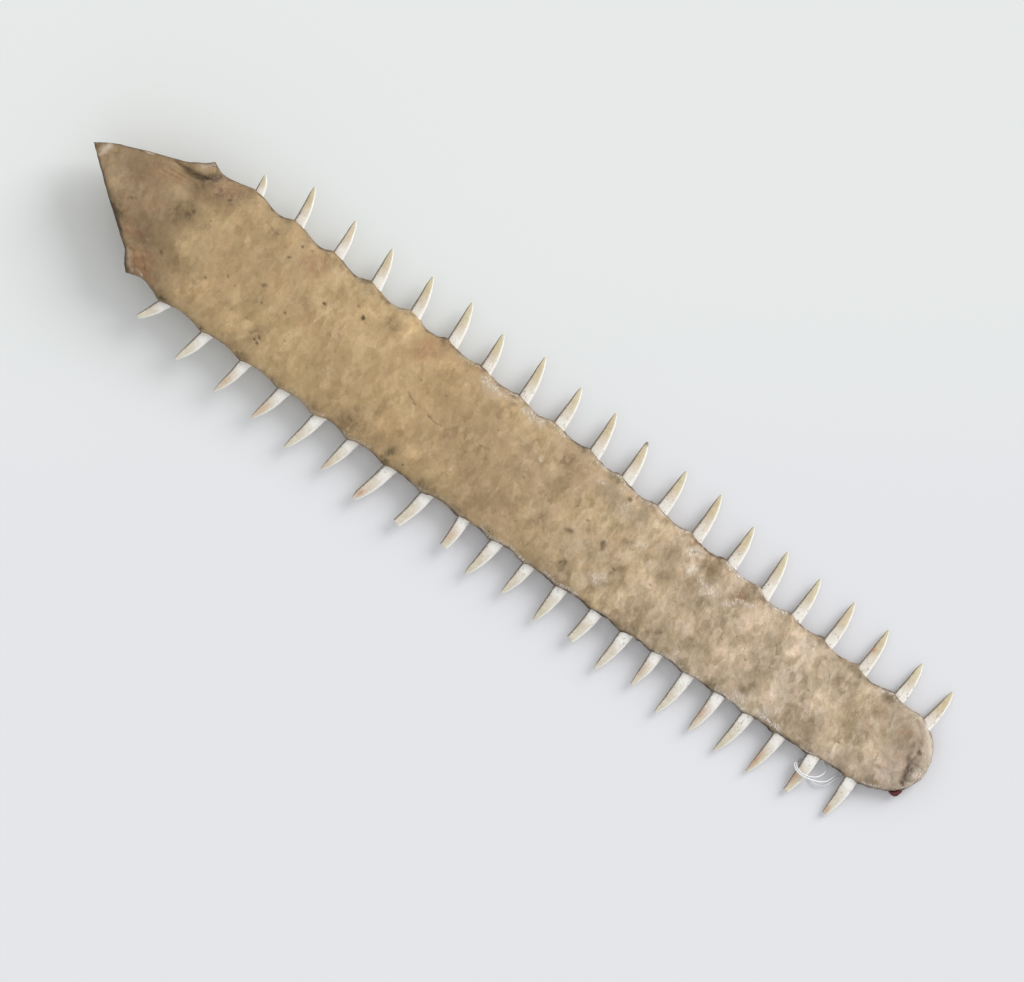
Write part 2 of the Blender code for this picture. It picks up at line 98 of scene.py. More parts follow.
# Teeth
UPPER_FIRST = 84.5
UPPER_SPACING = (26, 26, 25, 25.5, 24.5, 22, 25, 23, 23.5, 21.5, 24, 23, 23, 23, 20.5,
                 21.5, 22.5, 24, 19.5)
UPPER_LENGTH = (10, 21, 20, 20.5, 22, 24, 20.5, 24.5, 23.5, 24.5, 23, 23.5, 25.5, 23, 24,
                23.5, 25, 24.5, 21.5, 22)
LOWER_FIRST = 79.0
LOWER_SPACING = (27, 25, 24.5, 23, 21.5, 24, 23.5, 23, 21, 20.5, 20.5, 22, 19.5, 19, 19.5,
                 19, 18.5, 19.5, 20.5, 23)
LOWER_LENGTH = (15.5, 20.5, 21.5, 21, 23.5, 21.5, 24.5, 21.5, 17, 22.5, 20, 21.5, 19, 24.5,
                20.5, 26, 24, 25.5, 25, 22.5, 23)
UPPER_LEAN, LOWER_LEAN = (-17.0, -1.5), (-19.0, 0.0)
UPPER_LEAN_OF = {1: -19, 3: -10, 9: -6, 12: -4, 15: -8, 20: 3}
LOWER_LEAN_OF = {1: -28, 3: -12, 7: -14.5, 9: 0, 12: -4, 15: -3, 18: -7, 19: -6}
DROOP = (2.0, 7.0)
TOOTH_WIDTH = ((80, 6.5), (300, 7.4), (520, 7.1))
TOOTH_FLATNESS = 0.50
TOOTH_ROOT, ROOT_INSET = 6.0, 0.3
SIZE_WOBBLE, SMALL_TOOTH, SEED = 0.05, 0.80, 41
WORN_LOWER, BROAD_LOWER = (8, 9, 13), (7,)
TOOTH_TAPER = ((0.0, 1.0), (0.3, 0.90), (0.6, 0.70), (0.87, 0.40), (1.0, 0.15))
BROAD_TAPER = ((0.0, 1.0), (0.3, 0.97), (0.6, 0.84), (0.87, 0.58), (1.0, 0.28))
WORN_TAPER = ((0.0, 1.0), (0.3, 0.94), (0.6, 0.82), (0.87, 0.69), (1.0, 0.62))
BLUNT_TAPER = ((0.0, 1.0), (0.3, 0.93), (0.6, 0.76), (0.87, 0.52), (1.0, 0.40))
BLUNT_LOWER = (1, 20, 21)      # ends that the solids have a little more pointed
TOOTH_BOW = 0.03
TOOTH_SECTION = ((-1.0, 0.42), (-0.3, 0.95), (0.5, 0.85), (1.0, 0.0), (0.5, -0.85),
                 (-0.3, -0.95), (-1.0, -0.42), (-0.8, 0.0))

# Flake of dried tissue
CHIP_CORNERS = ((531.9, -16.5), (534.8, -14.3), (537.4, -11.5), (538.3, -12.4), (537.6, -15.8),
                (536.4, -17.0), (533.4, -17.1))
CHIP_THICKNESS, CHIP_HEIGHT = 1.6, 4.2

# Filament and its knot
FILAMENT = 0.8
LOOP_ROUTE = (
    (496.4, -24.6, 1.3), (498.8, -25.6, 1.9), (499.9, -27.6, 3.0), (499.6, -30.2, 4.2),
    (497.7, -33.0, 5.3), (494.3, -35.0, 6.0), (490.6, -35.8, 6.3), (487.5, -35.1, 5.9),
    (485.6, -33.5, 4.0), (486.2, -31.7, 1.8), (488.2, -29.2, 0.6), (490.5, -25.8, 0.45),
    (492.6, -22.9, 0.45), (495.8, -21.5, 0.45), (499.8, -21.2, 0.45), (503.2, -22.0, 0.5),
    (505.1, -23.8, 1.0), (505.2, -26.4, 2.2), (504.6, -29.0, 3.4), (503.3, -31.7, 4.4),
    (500.8, -33.8, 5.2), (497.5, -35.2, 6.0), (494.0, -36.3, 6.6), (490.4, -36.7, 6.9),
    (487.1, -36.0, 6.4), (484.8, -34.4, 4.8), (484.8, -32.2, 2.4), (486.2, -29.4, 0.9),
    (488.5, -25.6, 0.45), (490.9, -22.2, 0.45), (494.8, -20.1, 0.45), (500.4, -19.8, 0.45),
    (504.8, -20.5, 0.45), (507.2, -22.3, 0.5), (507.8, -24.6, 0.9), (506.8, -27.2, 1.5),
    (505.9, -29.6, 1.9), (505.0, -32.0, 2.1), (503.7, -34.2, 2.1), (501.6, -35.6, 1.9),
    (498.8, -36.2, 1.5), (495.8, -35.9, 1.0), (493.2, -34.6, 0.6), (491.9, -32.4, 0.45),
    (492.0, -29.6, 0.45), (493.0, -27.0, 0.55), (494.2, -25.2, 0.9),
)
KNOT_CENTRE = (495.1, -23.9, 1.2)
KNOT_SIZE = (2.6, 2.0, 1.9)

# How the photo sees the blade
IMAGE_SIZE = (1024, 982)
POINT_PIXEL = (85.80, 155.41)  # the point of the cut end
BLADE_SLOPE = math.radians(36.62)
PIXEL = 0.52                   # millimetres a pixel
LENS, SENSOR = 500.0, 36.0
SKIN_LEVEL = 10.0              # mean height of what the camera is focused on

# Light
SUN_BEARING = 36.0             # degrees from the picture's right towards its top
SUN_HEIGHT = 32.0
SUN_WIDTH = 36.0               # width of the soft light, as an angle
SUN_SHARE = 0.30               # of the light that the floor gets
FLOOR_SIZE, LAMP_DISTANCE, CAMERA_REACH = 8.0, 2.0, 100.0     # metres

# Fineness of the skin's mesh
MARGIN_COLUMNS = 9
FLAT_COLUMNS = 80
STRAIGHT_ROWS = 850
TIP_ROWS = 24

# Skin relief as (size of the features, height)
RELIEF = ((24.0, 0.34), (9.5, 0.20), (3.6, 0.09), (1.7, 0.045))
UNDER_RELIEF = 0.35            # share of it on the underside
RELIEF_ALONG = ((0, 0.8), (150, 0.9), (400, 1.15), (560, 1.4))
SKIN_EDGE = 0.9                # thickness of skin seen round the cut
SKIN_TURN = 3.0                # how far it turns in
REST_GAP = 0.02                # lowest the skin comes

# Fold of curled skin at the upper shoulder of the cut: its crease as (x, y)
CREASE = ((39.7, 25.1), (44.2, 24.75), (48.4, 24.9), (52.6, 25.0), (56.2, 26.0), (58.9, 27.5))
LIP_HEIGHT = ((38, 0.0), (43, 0.8), (50, 2.3), (56, 2.0), (60, 0.8), (63.5, 0.0))
CREASE_DEPTH = 0.45

# Marks on the skin, where the photo has them: pixel, half width, half height and strength
BROWN_MARKS = (
    (121, 209, 8, 9, 0.5), (130, 218, 6, 8, 0.4), (178, 210, 7, 5, 0.6), (188, 216, 6, 5, 0.5),
    (174, 219, 8, 5, 0.5), (194, 210, 6, 6, 0.4), (231, 201, 5, 4, 0.5), (235, 197, 16, 8, 0.35),
    (148, 170, 11, 9, 0.4), (205, 226, 10, 7, 0.3), (275, 232, 9, 6, 0.4), (255, 334, 8, 6, 0.5),
    (391, 322, 10, 6, 0.45), (350, 420, 15, 11, 0.5), (423, 487, 9, 7, 0.5), (569, 460, 11, 8, 0.45),
    (603, 542, 5, 4, 0.6), (570, 530, 5, 4, 0.5), (627, 542, 5, 4, 0.6), (563, 565, 5, 5, 0.6),
    (614, 568, 7, 5, 0.5), (667, 573, 8, 6, 0.4), (557, 581, 7, 5, 0.5), (740, 597, 12, 9, 0.5),
    (630, 609, 9, 7, 0.4), (702, 601, 8, 6, 0.4), (658, 633, 9, 7, 0.4), (693, 644, 9, 7, 0.45),
    (841, 681, 7, 6, 0.5), (878, 708, 8, 10, 0.5), (892, 697, 7, 5, 0.6), (300, 300, 12, 8, 0.2),
    (446, 432, 12, 8, 0.2), (520, 470, 12, 8, 0.25), (484, 500, 14, 8, 0.25), (540, 520, 10, 9, 0.3),
    (760, 668, 10, 8, 0.35), (158, 182, 12, 7, 0.25), (810, 735, 10, 8, 0.15), (852, 712, 10, 12, 0.3),
    (898, 742, 9, 12, 0.35), (871, 783, 12, 5, 0.4), (818, 747, 12, 6, 0.2), (707, 567, 5, 11, 0.5),
    (570, 462, 10, 14, 0.3), (748, 690, 12, 7, 0.3), (782, 640, 8, 10, 0.3), (168, 172, 14, 7, 0.2),
    (352, 292, 26, 13, 0.2), (790, 627, 14, 8, 0.25), (142, 268, 8, 8, 0.4), (838, 772, 12, 5, 0.35),
    (765, 600, 7, 5, 0.4), (905, 700, 7, 5, 0.4), (864, 735, 8, 14, 0.3),
)
RED_MARKS = (
    (226, 190, 10, 7, 0.45), (316, 262, 13, 9, 0.5), (429, 350, 15, 11, 0.5), (480, 370, 4, 4, 1.2),
    (641, 499, 3, 3, 0.8), (633, 491, 3, 2.5, 0.7), (696, 541, 5, 3, 0.6), (141, 264, 9, 11, 0.5),
    (158, 175, 16, 6, 0.2), (150, 205, 12, 7, 0.2), (740, 598, 5, 4, 0.5), (903, 766, 8, 10, 0.25),
    (310, 322, 16, 8, 0.15), (206, 196, 14, 6, 0.2),
)
# The olive mark at pixel (211, 178) is painted shadow below the fold's lip
OLIVE_MARKS = (
    (119, 207, 8, 8, 0.8), (97, 146, 4, 3, 0.8), (184, 213, 15, 9, 0.25), (393, 452, 6, 6, 0.6),
    (609, 491, 12, 9, 0.2), (642, 516, 9, 11, 0.28), (859, 673, 7, 6, 0.35), (211, 178, 12, 3.5, 0.75),
    (707, 568, 9, 9, 0.2), (260, 300, 14, 10, 0.2), (672, 548, 10, 12, 0.3), (602, 585, 9, 7, 0.35),
    (384, 470, 14, 5, 0.35), (420, 492, 16, 5, 0.35),
)
PALE_MARKS = (
    (191, 292, 20, 12, 0.6), (232, 322, 16, 12, 0.5), (117, 180, 7, 9, 0.6), (820, 700, 14, 12, 0.6),
    (154, 186, 8, 10, 0.5), (170, 194, 13, 6, 0.5), (188, 238, 15, 10, 0.45), (237, 216, 10, 8, 0.5),
    (260, 197, 9, 7, 0.45), (142, 189, 12, 8, 0.4), (408, 328, 12, 9, 0.5), (423, 362, 12, 9, 0.5),
    (371, 312, 13, 10, 0.5), (446, 364, 12, 9, 0.4), (416, 451, 12, 9, 0.5), (469, 402, 9, 7, 0.35),
    (384, 424, 8, 7, 0.4), (445, 470, 12, 8, 0.4), (503, 400, 12, 7, 0.25), (510, 421, 14, 10, 0.15),
    (792, 649, 9, 15, 0.6), (805, 719, 9, 10, 0.5), (870, 757, 6, 12, 0.7), (838, 740, 7, 11, 0.5),
    (853, 767, 6, 8, 0.5), (757, 706, 9, 8, 0.5), (775, 690, 9, 10, 0.4), (730, 650, 16, 10, 0.35),
    (660, 590, 16, 10, 0.3), (620, 535, 14, 9, 0.3), (603, 602, 26, 12, 0.9), (917, 752, 8, 10, 0.35),
    (206, 168, 11, 3, 0.5), (133, 262, 4, 7, 0.35), (144, 268, 3, 6, 0.35), (760, 620, 14, 9, 0.3),
    (690, 670, 14, 8, 0.3), (786, 732, 16, 8, 0.5), (640, 640, 16, 7, 0.3),
)
WHITE_MARKS = (
    (491, 383, 7, 8, 0.5), (533, 411, 7, 8, 0.55), (540, 458, 3, 3, 0.6), (601, 482, 4, 3, 0.5),
    (600, 576, 8, 5, 0.7), (696, 552, 6, 5, 1), (692, 572, 6, 5, 0.9), (709, 588, 8, 6, 0.8),
    (729, 603, 7, 4, 0.55), (742, 577, 5, 3, 0.6), (736, 700, 7, 7, 0.6), (766, 713, 5, 4, 0.5),
    (921, 777, 9, 11, 0.55), (928, 748, 4, 20, 0.4), (748, 580, 8, 3, 0.4), (640, 545, 7, 3, 0.3),
    (778, 612, 6, 3, 0.45), (666, 662, 6, 3, 0.4), (797, 757, 6, 3, 0.4), (583, 560, 5, 3, 0.3),
    (148, 239.5, 1.5, 1.5, 0.6), (560, 430, 6, 3, 0.3), (619, 487, 5, 3, 0.3), (625, 508, 9, 7, 0.35),
    (803, 752, 7, 5, 0.35),
)
GREY_MARKS = (
    (494, 395, 9, 7, 0.5), (609, 491, 12, 9, 0.3), (642, 516, 9, 11, 0.3), (602, 580, 8, 6, 0.5),
    (916, 745, 10, 20, 0.45), (905, 778, 12, 10, 0.35), (585, 452, 9, 10, 0.3), (556, 440, 12, 7, 0.3),
    (655, 655, 9, 6, 0.35), (850, 760, 12, 10, 0.25), (176, 196, 16, 8, 0.2), (300, 260, 16, 10, 0.1),
    (628, 602, 9, 6, 0.3),
)
SHADED = (
    (211, 181.5, 11, 4, 0.85), (222, 179, 6, 4, 0.5), (194, 181, 6, 3, 0.2), (200, 192, 14, 6, 0.25),
    (190, 169, 5, 3, 0.2), (206, 187, 14, 7, 0.45), (216, 192, 20, 8, 0.35), (238, 198, 12, 7, 0.12),
    (146, 232, 10, 20, 0.25), (345, 262, 22, 10, 0.25), (370, 285, 14, 9, 0.2),
)
SPECK_STRENGTH = 1.35
SPECKS = (
    (247, 318, 0.9, 0.9, 0.5), (284, 341, 1, 0.9, 0.5), (330, 336, 0.9, 0.9, 0.45),
    (262, 303, 1, 0.8, 0.45), (235, 287, 0.9, 0.9, 0.45), (232, 309, 0.9, 0.8, 0.45),
    (446, 395, 0.9, 0.9, 0.45), (421, 380, 0.9, 0.9, 0.4), (465, 452, 1, 0.8, 0.45),
    (498, 430, 0.9, 0.9, 0.45), (524, 478, 1.1, 0.9, 0.5), (545, 495, 0.9, 0.9, 0.5),
    (588, 520, 1, 1, 0.5), (578, 505, 0.9, 0.8, 0.45), (620, 560, 1, 1, 0.5), (650, 585, 1.1, 1, 0.5),
    (676, 602, 0.9, 0.9, 0.5), (722, 640, 1, 1, 0.45), (745, 660, 1, 0.9, 0.45),
    (770, 668, 0.9, 0.9, 0.45), (808, 690, 1, 1, 0.45), (133, 198, 1.2, 1.2, 0.64),
    (137, 198, 1, 1, 0.56), (162, 253, 1.2, 1.2, 0.64), (205, 278, 1.2, 1.2, 0.56),
    (254, 340, 1.3, 1.2, 0.7), (257.5, 343.5, 1.3, 1.2, 0.7), (259, 339, 1.2, 1.2, 0.7),
    (289, 258, 1.4, 1.4, 0.56), (303, 247, 1.4, 1.4, 0.64), (324, 304, 1.2, 1.4, 0.72),
    (286, 313, 1.2, 1.6, 0.56), (359, 306, 0.7, 1.4, 0.64), (362.8, 318.2, 1.3, 2, 1),
    (264.5, 286, 2.9, 1.7, 0.48), (188, 216, 2.2, 1.8, 0.35), (194, 212, 1.6, 1.6, 0.45),
    (231, 201, 2.2, 1.2, 0.72), (131, 249, 1.4, 1, 0.64), (393, 452, 2.5, 2.9, 0.35),
    (603, 542, 1.7, 2.2, 0.64), (560, 562, 1.7, 1.4, 0.56), (402, 465, 1, 1, 0.64),
    (148, 283, 1.4, 1, 0.48), (161, 298, 1.7, 1.2, 0.64), (201, 329, 1.7, 1.2, 0.64),
    (370, 455, 1.9, 1.2, 0.48), (630, 500, 2.2, 1.6, 0.48), (664, 508, 1.7, 1.4, 0.48),
    (702, 523, 1.3, 1.2, 0.56), (694, 552, 1.7, 1.4, 0.48), (613, 568, 1.7, 1.2, 0.48),
    (860, 676, 1.2, 2.2, 0.4), (920, 711, 1.4, 1.2, 0.4), (838, 743, 1.2, 1.2, 0.48),
    (571, 531, 2.5, 1.4, 0.4), (636, 496, 1.4, 1.1, 0.4), (217, 195, 1.1, 1.1, 0.48),
    (212, 222, 1, 1, 0.48), (229, 277, 1.1, 1.1, 0.48), (313, 252, 2.2, 0.9, 0.4),
)
# Thin dark lines: cracks and creases, and painted shade in the fold's crease and along the cut's left
# edge; pixels of both ends, half width and strength
DARK_LINES = (
    (268, 223, 272, 229, 1, 0.35), (272, 229, 280, 235, 1, 0.3), (409, 392, 411, 399, 0.9, 0.4),
    (411, 399, 416, 405, 0.9, 0.4), (428, 415, 434, 421, 1, 0.45), (434, 421, 442, 426, 0.9, 0.4),
    (446, 431, 463, 426, 0.8, 0.25), (484, 447, 487, 460, 0.9, 0.3), (476, 441, 486, 449, 0.8, 0.2),
    (520, 441, 532, 448, 0.8, 0.2), (600, 510, 606, 520, 0.8, 0.2), (800, 737, 812, 744, 0.9, 0.2),
    (878, 788, 884, 791, 0.9, 0.6), (894, 790, 906, 789, 1, 0.6), (176.5, 162.3, 184, 167.5, 0.8, 0.35),
    (184, 167.5, 193, 173.5, 0.8, 0.6), (193, 173.5, 199, 177.5, 0.9, 0.65),
    (199, 177.5, 208, 179, 1, 0.6), (208, 179, 216, 178, 1.2, 0.5), (190, 175.5, 196, 179, 0.7, 0.3),
    (196, 179, 205, 182, 0.8, 0.45), (104, 172, 113, 203, 1, 0.5), (113, 203, 121.5, 231, 1.7, 0.95),
    (121.5, 231, 126, 245, 1.2, 0.6), (185, 171, 194, 177, 0.7, 0.3), (217, 172, 224, 180, 1, 0.35),
    (186, 167, 192, 170.5, 0.7, 0.25), (197, 174, 203, 176.5, 0.8, 0.4),
    (134, 250, 136, 268, 0.9, 0.35), (143, 256, 147, 272, 0.9, 0.35),
)
# Wider soft strokes on the skin: pixels of both ends, half width and strength
BROWN_STROKES = (
    (186, 165, 199, 176, 2.4, 0.4), (136, 221, 151, 235, 2.6, 0.35), (152, 213, 160, 222, 1.8, 0.25),
    (486, 380, 500, 392, 4.5, 0.3), (505, 398, 540, 421, 3, 0.25), (140, 232, 152, 262, 4, 0.35),
    (136, 200, 150, 226, 4, 0.25), (150, 262, 160, 280, 3, 0.2),
)
PALE_STROKES = (
    (128, 248, 130, 268, 2.2, 0.45), (139, 253, 141, 268, 1.6, 0.4), (198, 170, 214, 170, 2.2, 0.4),
    (168, 170, 190, 184, 1.6, 0.25), (160, 170, 184, 190, 1.6, 0.2), (171, 163, 189, 178, 1.5, 0.3),
)
RED_STROKES = (
    (135.5, 252, 138, 269, 1.4, 0.6), (143, 257, 150, 279, 2, 0.6), (131, 247, 140, 250, 1.4, 0.5),
)
WHITE_STROKES = (
    (485, 379, 496, 388, 4, 0.45), (500, 394, 516, 402, 2.2, 0.3), (524, 410, 542, 423, 3.6, 0.45),
    (132, 269, 133, 271, 1, 0.8), (142, 274, 143, 276, 1, 0.8), (148, 152.6, 154, 154.2, 0.9, 0.4),
    (592, 574, 606, 579, 2.5, 0.5), (738, 600, 752, 606, 2, 0.6), (700, 580, 712, 592, 2, 0.6),
    (657, 652, 680, 668, 2.2, 0.9), (716, 691, 745, 710, 3.2, 0.95), (757, 712, 780, 730, 2.6, 0.9),
    (727, 564, 742, 579, 1.8, 1.2), (762, 591, 784, 613, 2.4, 1.2), (799, 617, 808, 627, 1.8, 0.8),
)
# Skin worn pale: at the point of the cut, on the shoulders and round the free end
BARE_STROKES = (
    (101.5, 155, 105, 150.5, 2, 0.75), (105, 150.5, 112, 146, 2.8, 0.8),
    (129, 252, 130.5, 266, 1.8, 0.28), (136, 268, 141, 273, 1.4, 0.3), (202, 167, 214, 166, 2, 0.35),
    (146, 152, 156, 155, 1, 0.4), (925, 724, 930, 742, 2, 0.8), (930, 742, 931.5, 758, 2, 0.9),
    (931.5, 758, 929, 772, 1.8, 0.8), (923, 781, 915, 790, 2.2, 0.9), (486, 381, 500, 394, 4, 0.2),
    (523, 410, 542, 425, 4, 0.2),
)
# Low folds of the skin as (x0, y0, x1, y1, half width, height)
WRINKLES = (
    (39.3, 18.6, 53.3, 21.2, 0.9, 0.3), (41, 21.4, 56, 22.8, 0.9, 0.28),
    (36.5, 15.8, 50, 18.4, 0.9, 0.2), (33, 20, 42, 23.6, 0.9, 0.22), (47.5, -30.5, 56, -24, 1.1, 0.35),
    (50.5, -33, 60, -28, 1.1, 0.35), (45, -27.5, 51, -21.5, 1, 0.25), (38, -19, 50, -14, 1.6, 0.3),
    (30, -12.5, 42, -10, 1.5, 0.22), (60, -31, 70, -33.5, 1.3, 0.2), (62, 27, 74, 30, 1.3, 0.2),
    (520, -9, 534, -3, 1, 0.22), (524, 2, 537, 7, 1, 0.22), (516, 12, 530, 15.5, 1, 0.18),
)
# Worn band at the free end: pixels along it, half width and strength
TIP_BAND = (
    (917, 724, 921, 735, 3.2, 0.2), (920, 737, 919, 752, 3.4, 0.3), (919, 752, 913, 766, 3.2, 0.75),
    (913, 766, 904, 784, 3.4, 1), (917, 766, 909, 782, 2.4, 0.8), (912, 744, 908, 760, 2.4, 0.45),
)
# The same by the name of the value that they give
MARKS = {"brown": BROWN_MARKS, "red": RED_MARKS, "olive": OLIVE_MARKS, "pale": PALE_MARKS,
         "white": WHITE_MARKS, "grey": GREY_MARKS, "rim": SHADED}
STROKES = {"brown": BROWN_STROKES, "red": RED_STROKES, "pale": PALE_STROKES,
           "white": WHITE_STROKES, "bare": BARE_STROKES, "dark": DARK_LINES}

# Table and reach of the noise, and how marks fade
NOISE_CELLS, NOISE_GAIN = 32, 1.6
SPOT_FALL, SPOT_POWER = 0.8, 1.2


def to_metres(points):
    return (np.asarray(points, float) - (MIDDLE, 0.0, 0.0)) * MM


def on_blade(px, py):
    """Place on the blade in mm that the photo shows at a pixel."""
    right, down = px - POINT_PIXEL[0], py - POINT_PIXEL[1]
    cos, sin = math.cos(BLADE_SLOPE), math.sin(BLADE_SLOPE)
    return (right * cos + down * sin) * PIXEL, (right * sin - down * cos) * PIXEL


def seen_at(x, y):
    """Pixel at which the photo shows a place on the blade."""
    cos, sin = math.cos(BLADE_SLOPE), math.sin(BLADE_SLOPE)
    return (POINT_PIXEL[0] + (x * cos + y * sin) / PIXEL,
            POINT_PIXEL[1] + (x * sin - y * cos) / PIXEL)


def smooth_through(stations, x):
    """Height at x of a smooth curve through (x, height) stations."""
    xs, ys = np.array(stations, float).T
    slopes = np.gradient(ys, xs)
    i = np.clip(np.searchsorted(xs, x) - 1, 0, len(xs) - 2)
    step = xs[i + 1] - xs[i]
    t = np.clip((x - xs[i]) / step, 0.0, 1.0)
    start = ys[i] * (2 * t**3 - 3 * t**2 + 1) + ys[i + 1] * (3 * t**2 - 2 * t**3)
    return start + step * (slopes[i] * (t**3 - 2 * t**2 + t) + slopes[i + 1] * (t**3 - t**2))


def curve_between(a, b, c, d, t):
    """Point at share t from b to c on a smooth curve through a, b, c and d."""
    return 0.5 * (2 * b + (c - a) * t + (2 * a - 5 * b + 4 * c - d) * t**2
                  + (3 * b - a - 3 * c + d) * t**3)


def step_up(x, low, high):
    """0 below low, 1 above high, smooth between."""
    t = np.clip((x - low) / (high - low), 0.0, 1.0)
    return t * t * (3 - 2 * t)


def tooth_width(x):
    return smooth_through(TOOTH_WIDTH, x)


def tooth_places(first, spacing):
    return [first + sum(spacing[:i]) for i in range(len(spacing) + 1)]


UPPER_TEETH = tooth_places(UPPER_FIRST, UPPER_SPACING)
LOWER_TEETH = tooth_places(LOWER_FIRST, LOWER_SPACING)
# Upper and lower edge: line, roundness of the free end, and what notch() needs
EDGES = ((UPPER_EDGE, TIP_POWER_UPPER, UPPER_TEETH, UPPER_SHOULDER, UPPER_NOTCHES, UPPER_BIAS),
         (LOWER_EDGE, TIP_POWER_LOWER, LOWER_TEETH, LOWER_SHOULDER, LOWER_NOTCHES, LOWER_BIAS))


def tip_factor(x, power):
    reach = np.clip((x - (LENGTH - TIP_ROUND)) / TIP_ROUND, 0.0, 1.0)
    return (1.0 - reach**power) ** (1.0 / power)


def notch(x, teeth, shoulder, depths, biases):
    """How far the edge falls back between the rear sides of two teeth."""
    ends = [shoulder] + [t - tooth_width(t) / 2 for t in teeth]
    fall = np.zeros(np.shape(x))
    for a, b, depth in zip(ends[:-1], ends[1:], depths):
        between = np.clip((x - a) / (b - a), 0.0, 1.0)
        bias = smooth_through(biases, (a + b) / 2)
        fall += depth * np.clip(np.sin(math.pi * between**bias), 0.0, 1.0) ** NOTCH_POWER
    return fall


def edge(side, x):
    """Distance of the blade's edge from the axis, side 1 or -1."""
    upper, lower = ((smooth_through(line, x) - notch(x, *notches)) * tip_factor(x, power)
                    for line, power, *notches in EDGES)
    return np.where(side > 0, upper, lower)


def tooth_plane(x):
    share = np.clip(1.0 - x / BEND_LENGTH, 0.0, None)
    bend = BEND_STRAIGHT * share + BEND_CURVED * share**2
    return smooth_through(THICKNESS, x) * BELOW_TEETH + bend


def rest_half_width(x, width):
    along = np.clip(x / (LENGTH - TIP_ROUND), 0.0, 1.0)
    strip = REST_BASE + (REST_TIP - REST_BASE) * along - REST_WAIST * np.sin(math.pi * along)
    return np.minimum(strip, REST_MOST * width)


def section_heights(x, from_axis, width):
    """Lowest and highest point of the blade at x, from_axis mm out of width."""
    thin = tip_factor(x, TIP_POWER_LOWER) ** TIP_THINNING
    total = smooth_through(THICKNESS, x) * thin
    margin = smooth_through(MARGIN_THICKNESS, x) / 2 * thin
    middle = tooth_plane(x)
    below = total * BELOW_TEETH
    above = total - below
    share = np.clip(from_axis / width, 0.0, 1.0)
    inside = np.clip((width - from_axis) / (margin * ROUND_WIDE), 0.0, 1.0)
    rounding = np.sqrt(1.0 - (1.0 - inside) ** 2)
    furrow = FURROW_DEPTH * total * np.exp(-((share - FURROW_PLACE) / FURROW_WIDTH) ** 2)
    slope = (1.0 - share ** CROWN_POWERS[0]) ** CROWN_POWERS[1]
    crown = margin + (above - margin) * slope - furrow
    strip = rest_half_width(x, width)
    lift = (np.maximum(from_axis - strip, 0.0) / (width - strip)) ** BELLY_POWER
    belly = margin + (below - margin) * (1.0 - lift)
    return middle - belly * rounding, middle + crown * rounding


def cut_line(y):
    """Where the cut end crosses y."""
    xs, ys = np.array(CUT_CORNERS, float).T
    return np.interp(y, ys, xs)


def noise(points, size, seed):
    """Smooth noise from about -1 to 1 with features of about the given size."""
    table = np.random.RandomState(seed).uniform(-1.0, 1.0, (NOISE_CELLS,) * 3)
    turn = np.array(Matrix.Rotation(1.0 + seed, 3, Vector((0.4, 0.7, 0.6))))
    at = points @ turn.T / size
    cell = np.floor(at).astype(int)
    t = at - cell
    t = t * t * (3 - 2 * t)
    total = np.zeros(points.shape[:-1])
    for corner in np.ndindex(2, 2, 2):
        weight = np.prod(np.where(np.array(corner) == 1, t, 1.0 - t), axis=-1)
        i, j, k = np.moveaxis((cell + corner) % NOISE_CELLS, -1, 0)
        total += weight * table[i, j, k]
    return total * NOISE_GAIN


def spots(px, py, marks):
    """Strength at each pixel of the strongest of some soft elliptical marks."""
    total = np.zeros_like(px)
    for at_x, at_y, half_x, half_y, strength in marks:
        far = ((px - at_x) / half_x) ** 2 + ((py - at_y) / half_y) ** 2
        total = np.maximum(total, strength * np.exp(-SPOT_FALL * far**SPOT_POWER))
    return total


def strokes(px, py, lines):
    """The same for soft lines between two pixels, or two places in mm."""
    total = np.zeros_like(px)
    for ax, ay, bx, by, half, strength in lines:
        run = np.array((bx - ax, by - ay))
        t = np.clip(((px - ax) * run[0] + (py - ay) * run[1]) / (run @ run), 0.0, 1.0)
        far = np.hypot(px - ax - t * run[0], py - ay - t * run[1]) / half
        total = np.maximum(total, strength * np.exp(-far**2))
    return total


def link(obj):
    bpy.context.scene.collection.objects.link(obj)
    return obj


def make_mesh(name, material, points, faces, values, uv=None):
    """Mesh object from points in mm, with float attributes and its own bake map."""
    mesh = bpy.data.meshes.new(name)
    mesh.materials.append(material)
    mesh.from_pydata(to_metres(points).tolist(), [], faces)
    for key, numbers in values.items():
        attribute = mesh.attributes.new(key, "FLOAT", "POINT")
        attribute.data.foreach_set("value", np.asarray(numbers, np.float32).ravel())
    if uv is not None:
        layer = mesh.uv_layers.new(name="OFBake")
        layer.data.foreach_set("uv", np.asarray(uv, np.float32).ravel())
    mesh.shade_smooth()
    return link(bpy.data.objects.new(name, mesh))


def grid_faces(rows, columns, closed):
    """Quads of a grid of points, and their corners in grid steps."""
    across = columns if closed else columns - 1
    r, c = np.meshgrid(np.arange(rows - 1), np.arange(across), indexing="ij")
    r, c = r.ravel(), c.ravel()
    steps = np.stack([np.stack([r, c], 1), np.stack([r, c + 1], 1),
                      np.stack([r + 1, c + 1], 1), np.stack([r + 1, c], 1)], 1)
    return steps[..., 0] * columns + steps[..., 1] % columns, steps


def fan(first, ring, point):
    """Triangles from a ring of points to one point."""
    return [(first + i, first + (i + 1) % ring, point) for i in range(ring)]


def fan_map(ring, low, high):
    """Corners of a fan's triangles on the bake map."""
    corners = np.array(((0.0, low), (1.0, low), (0.5, high)))
    return (np.arange(ring)[:, None, None] * (1.0, 0.0) + corners).reshape(-1, 2) / (ring, 1.0)


# Materials

def colour(red, green, blue):
    """Linear colour from the photo's 0 to 255 values."""
    return tuple(((v / 255 + 0.055) / 1.055) ** 2.4 for v in (red, green, blue)) + (1.0,)


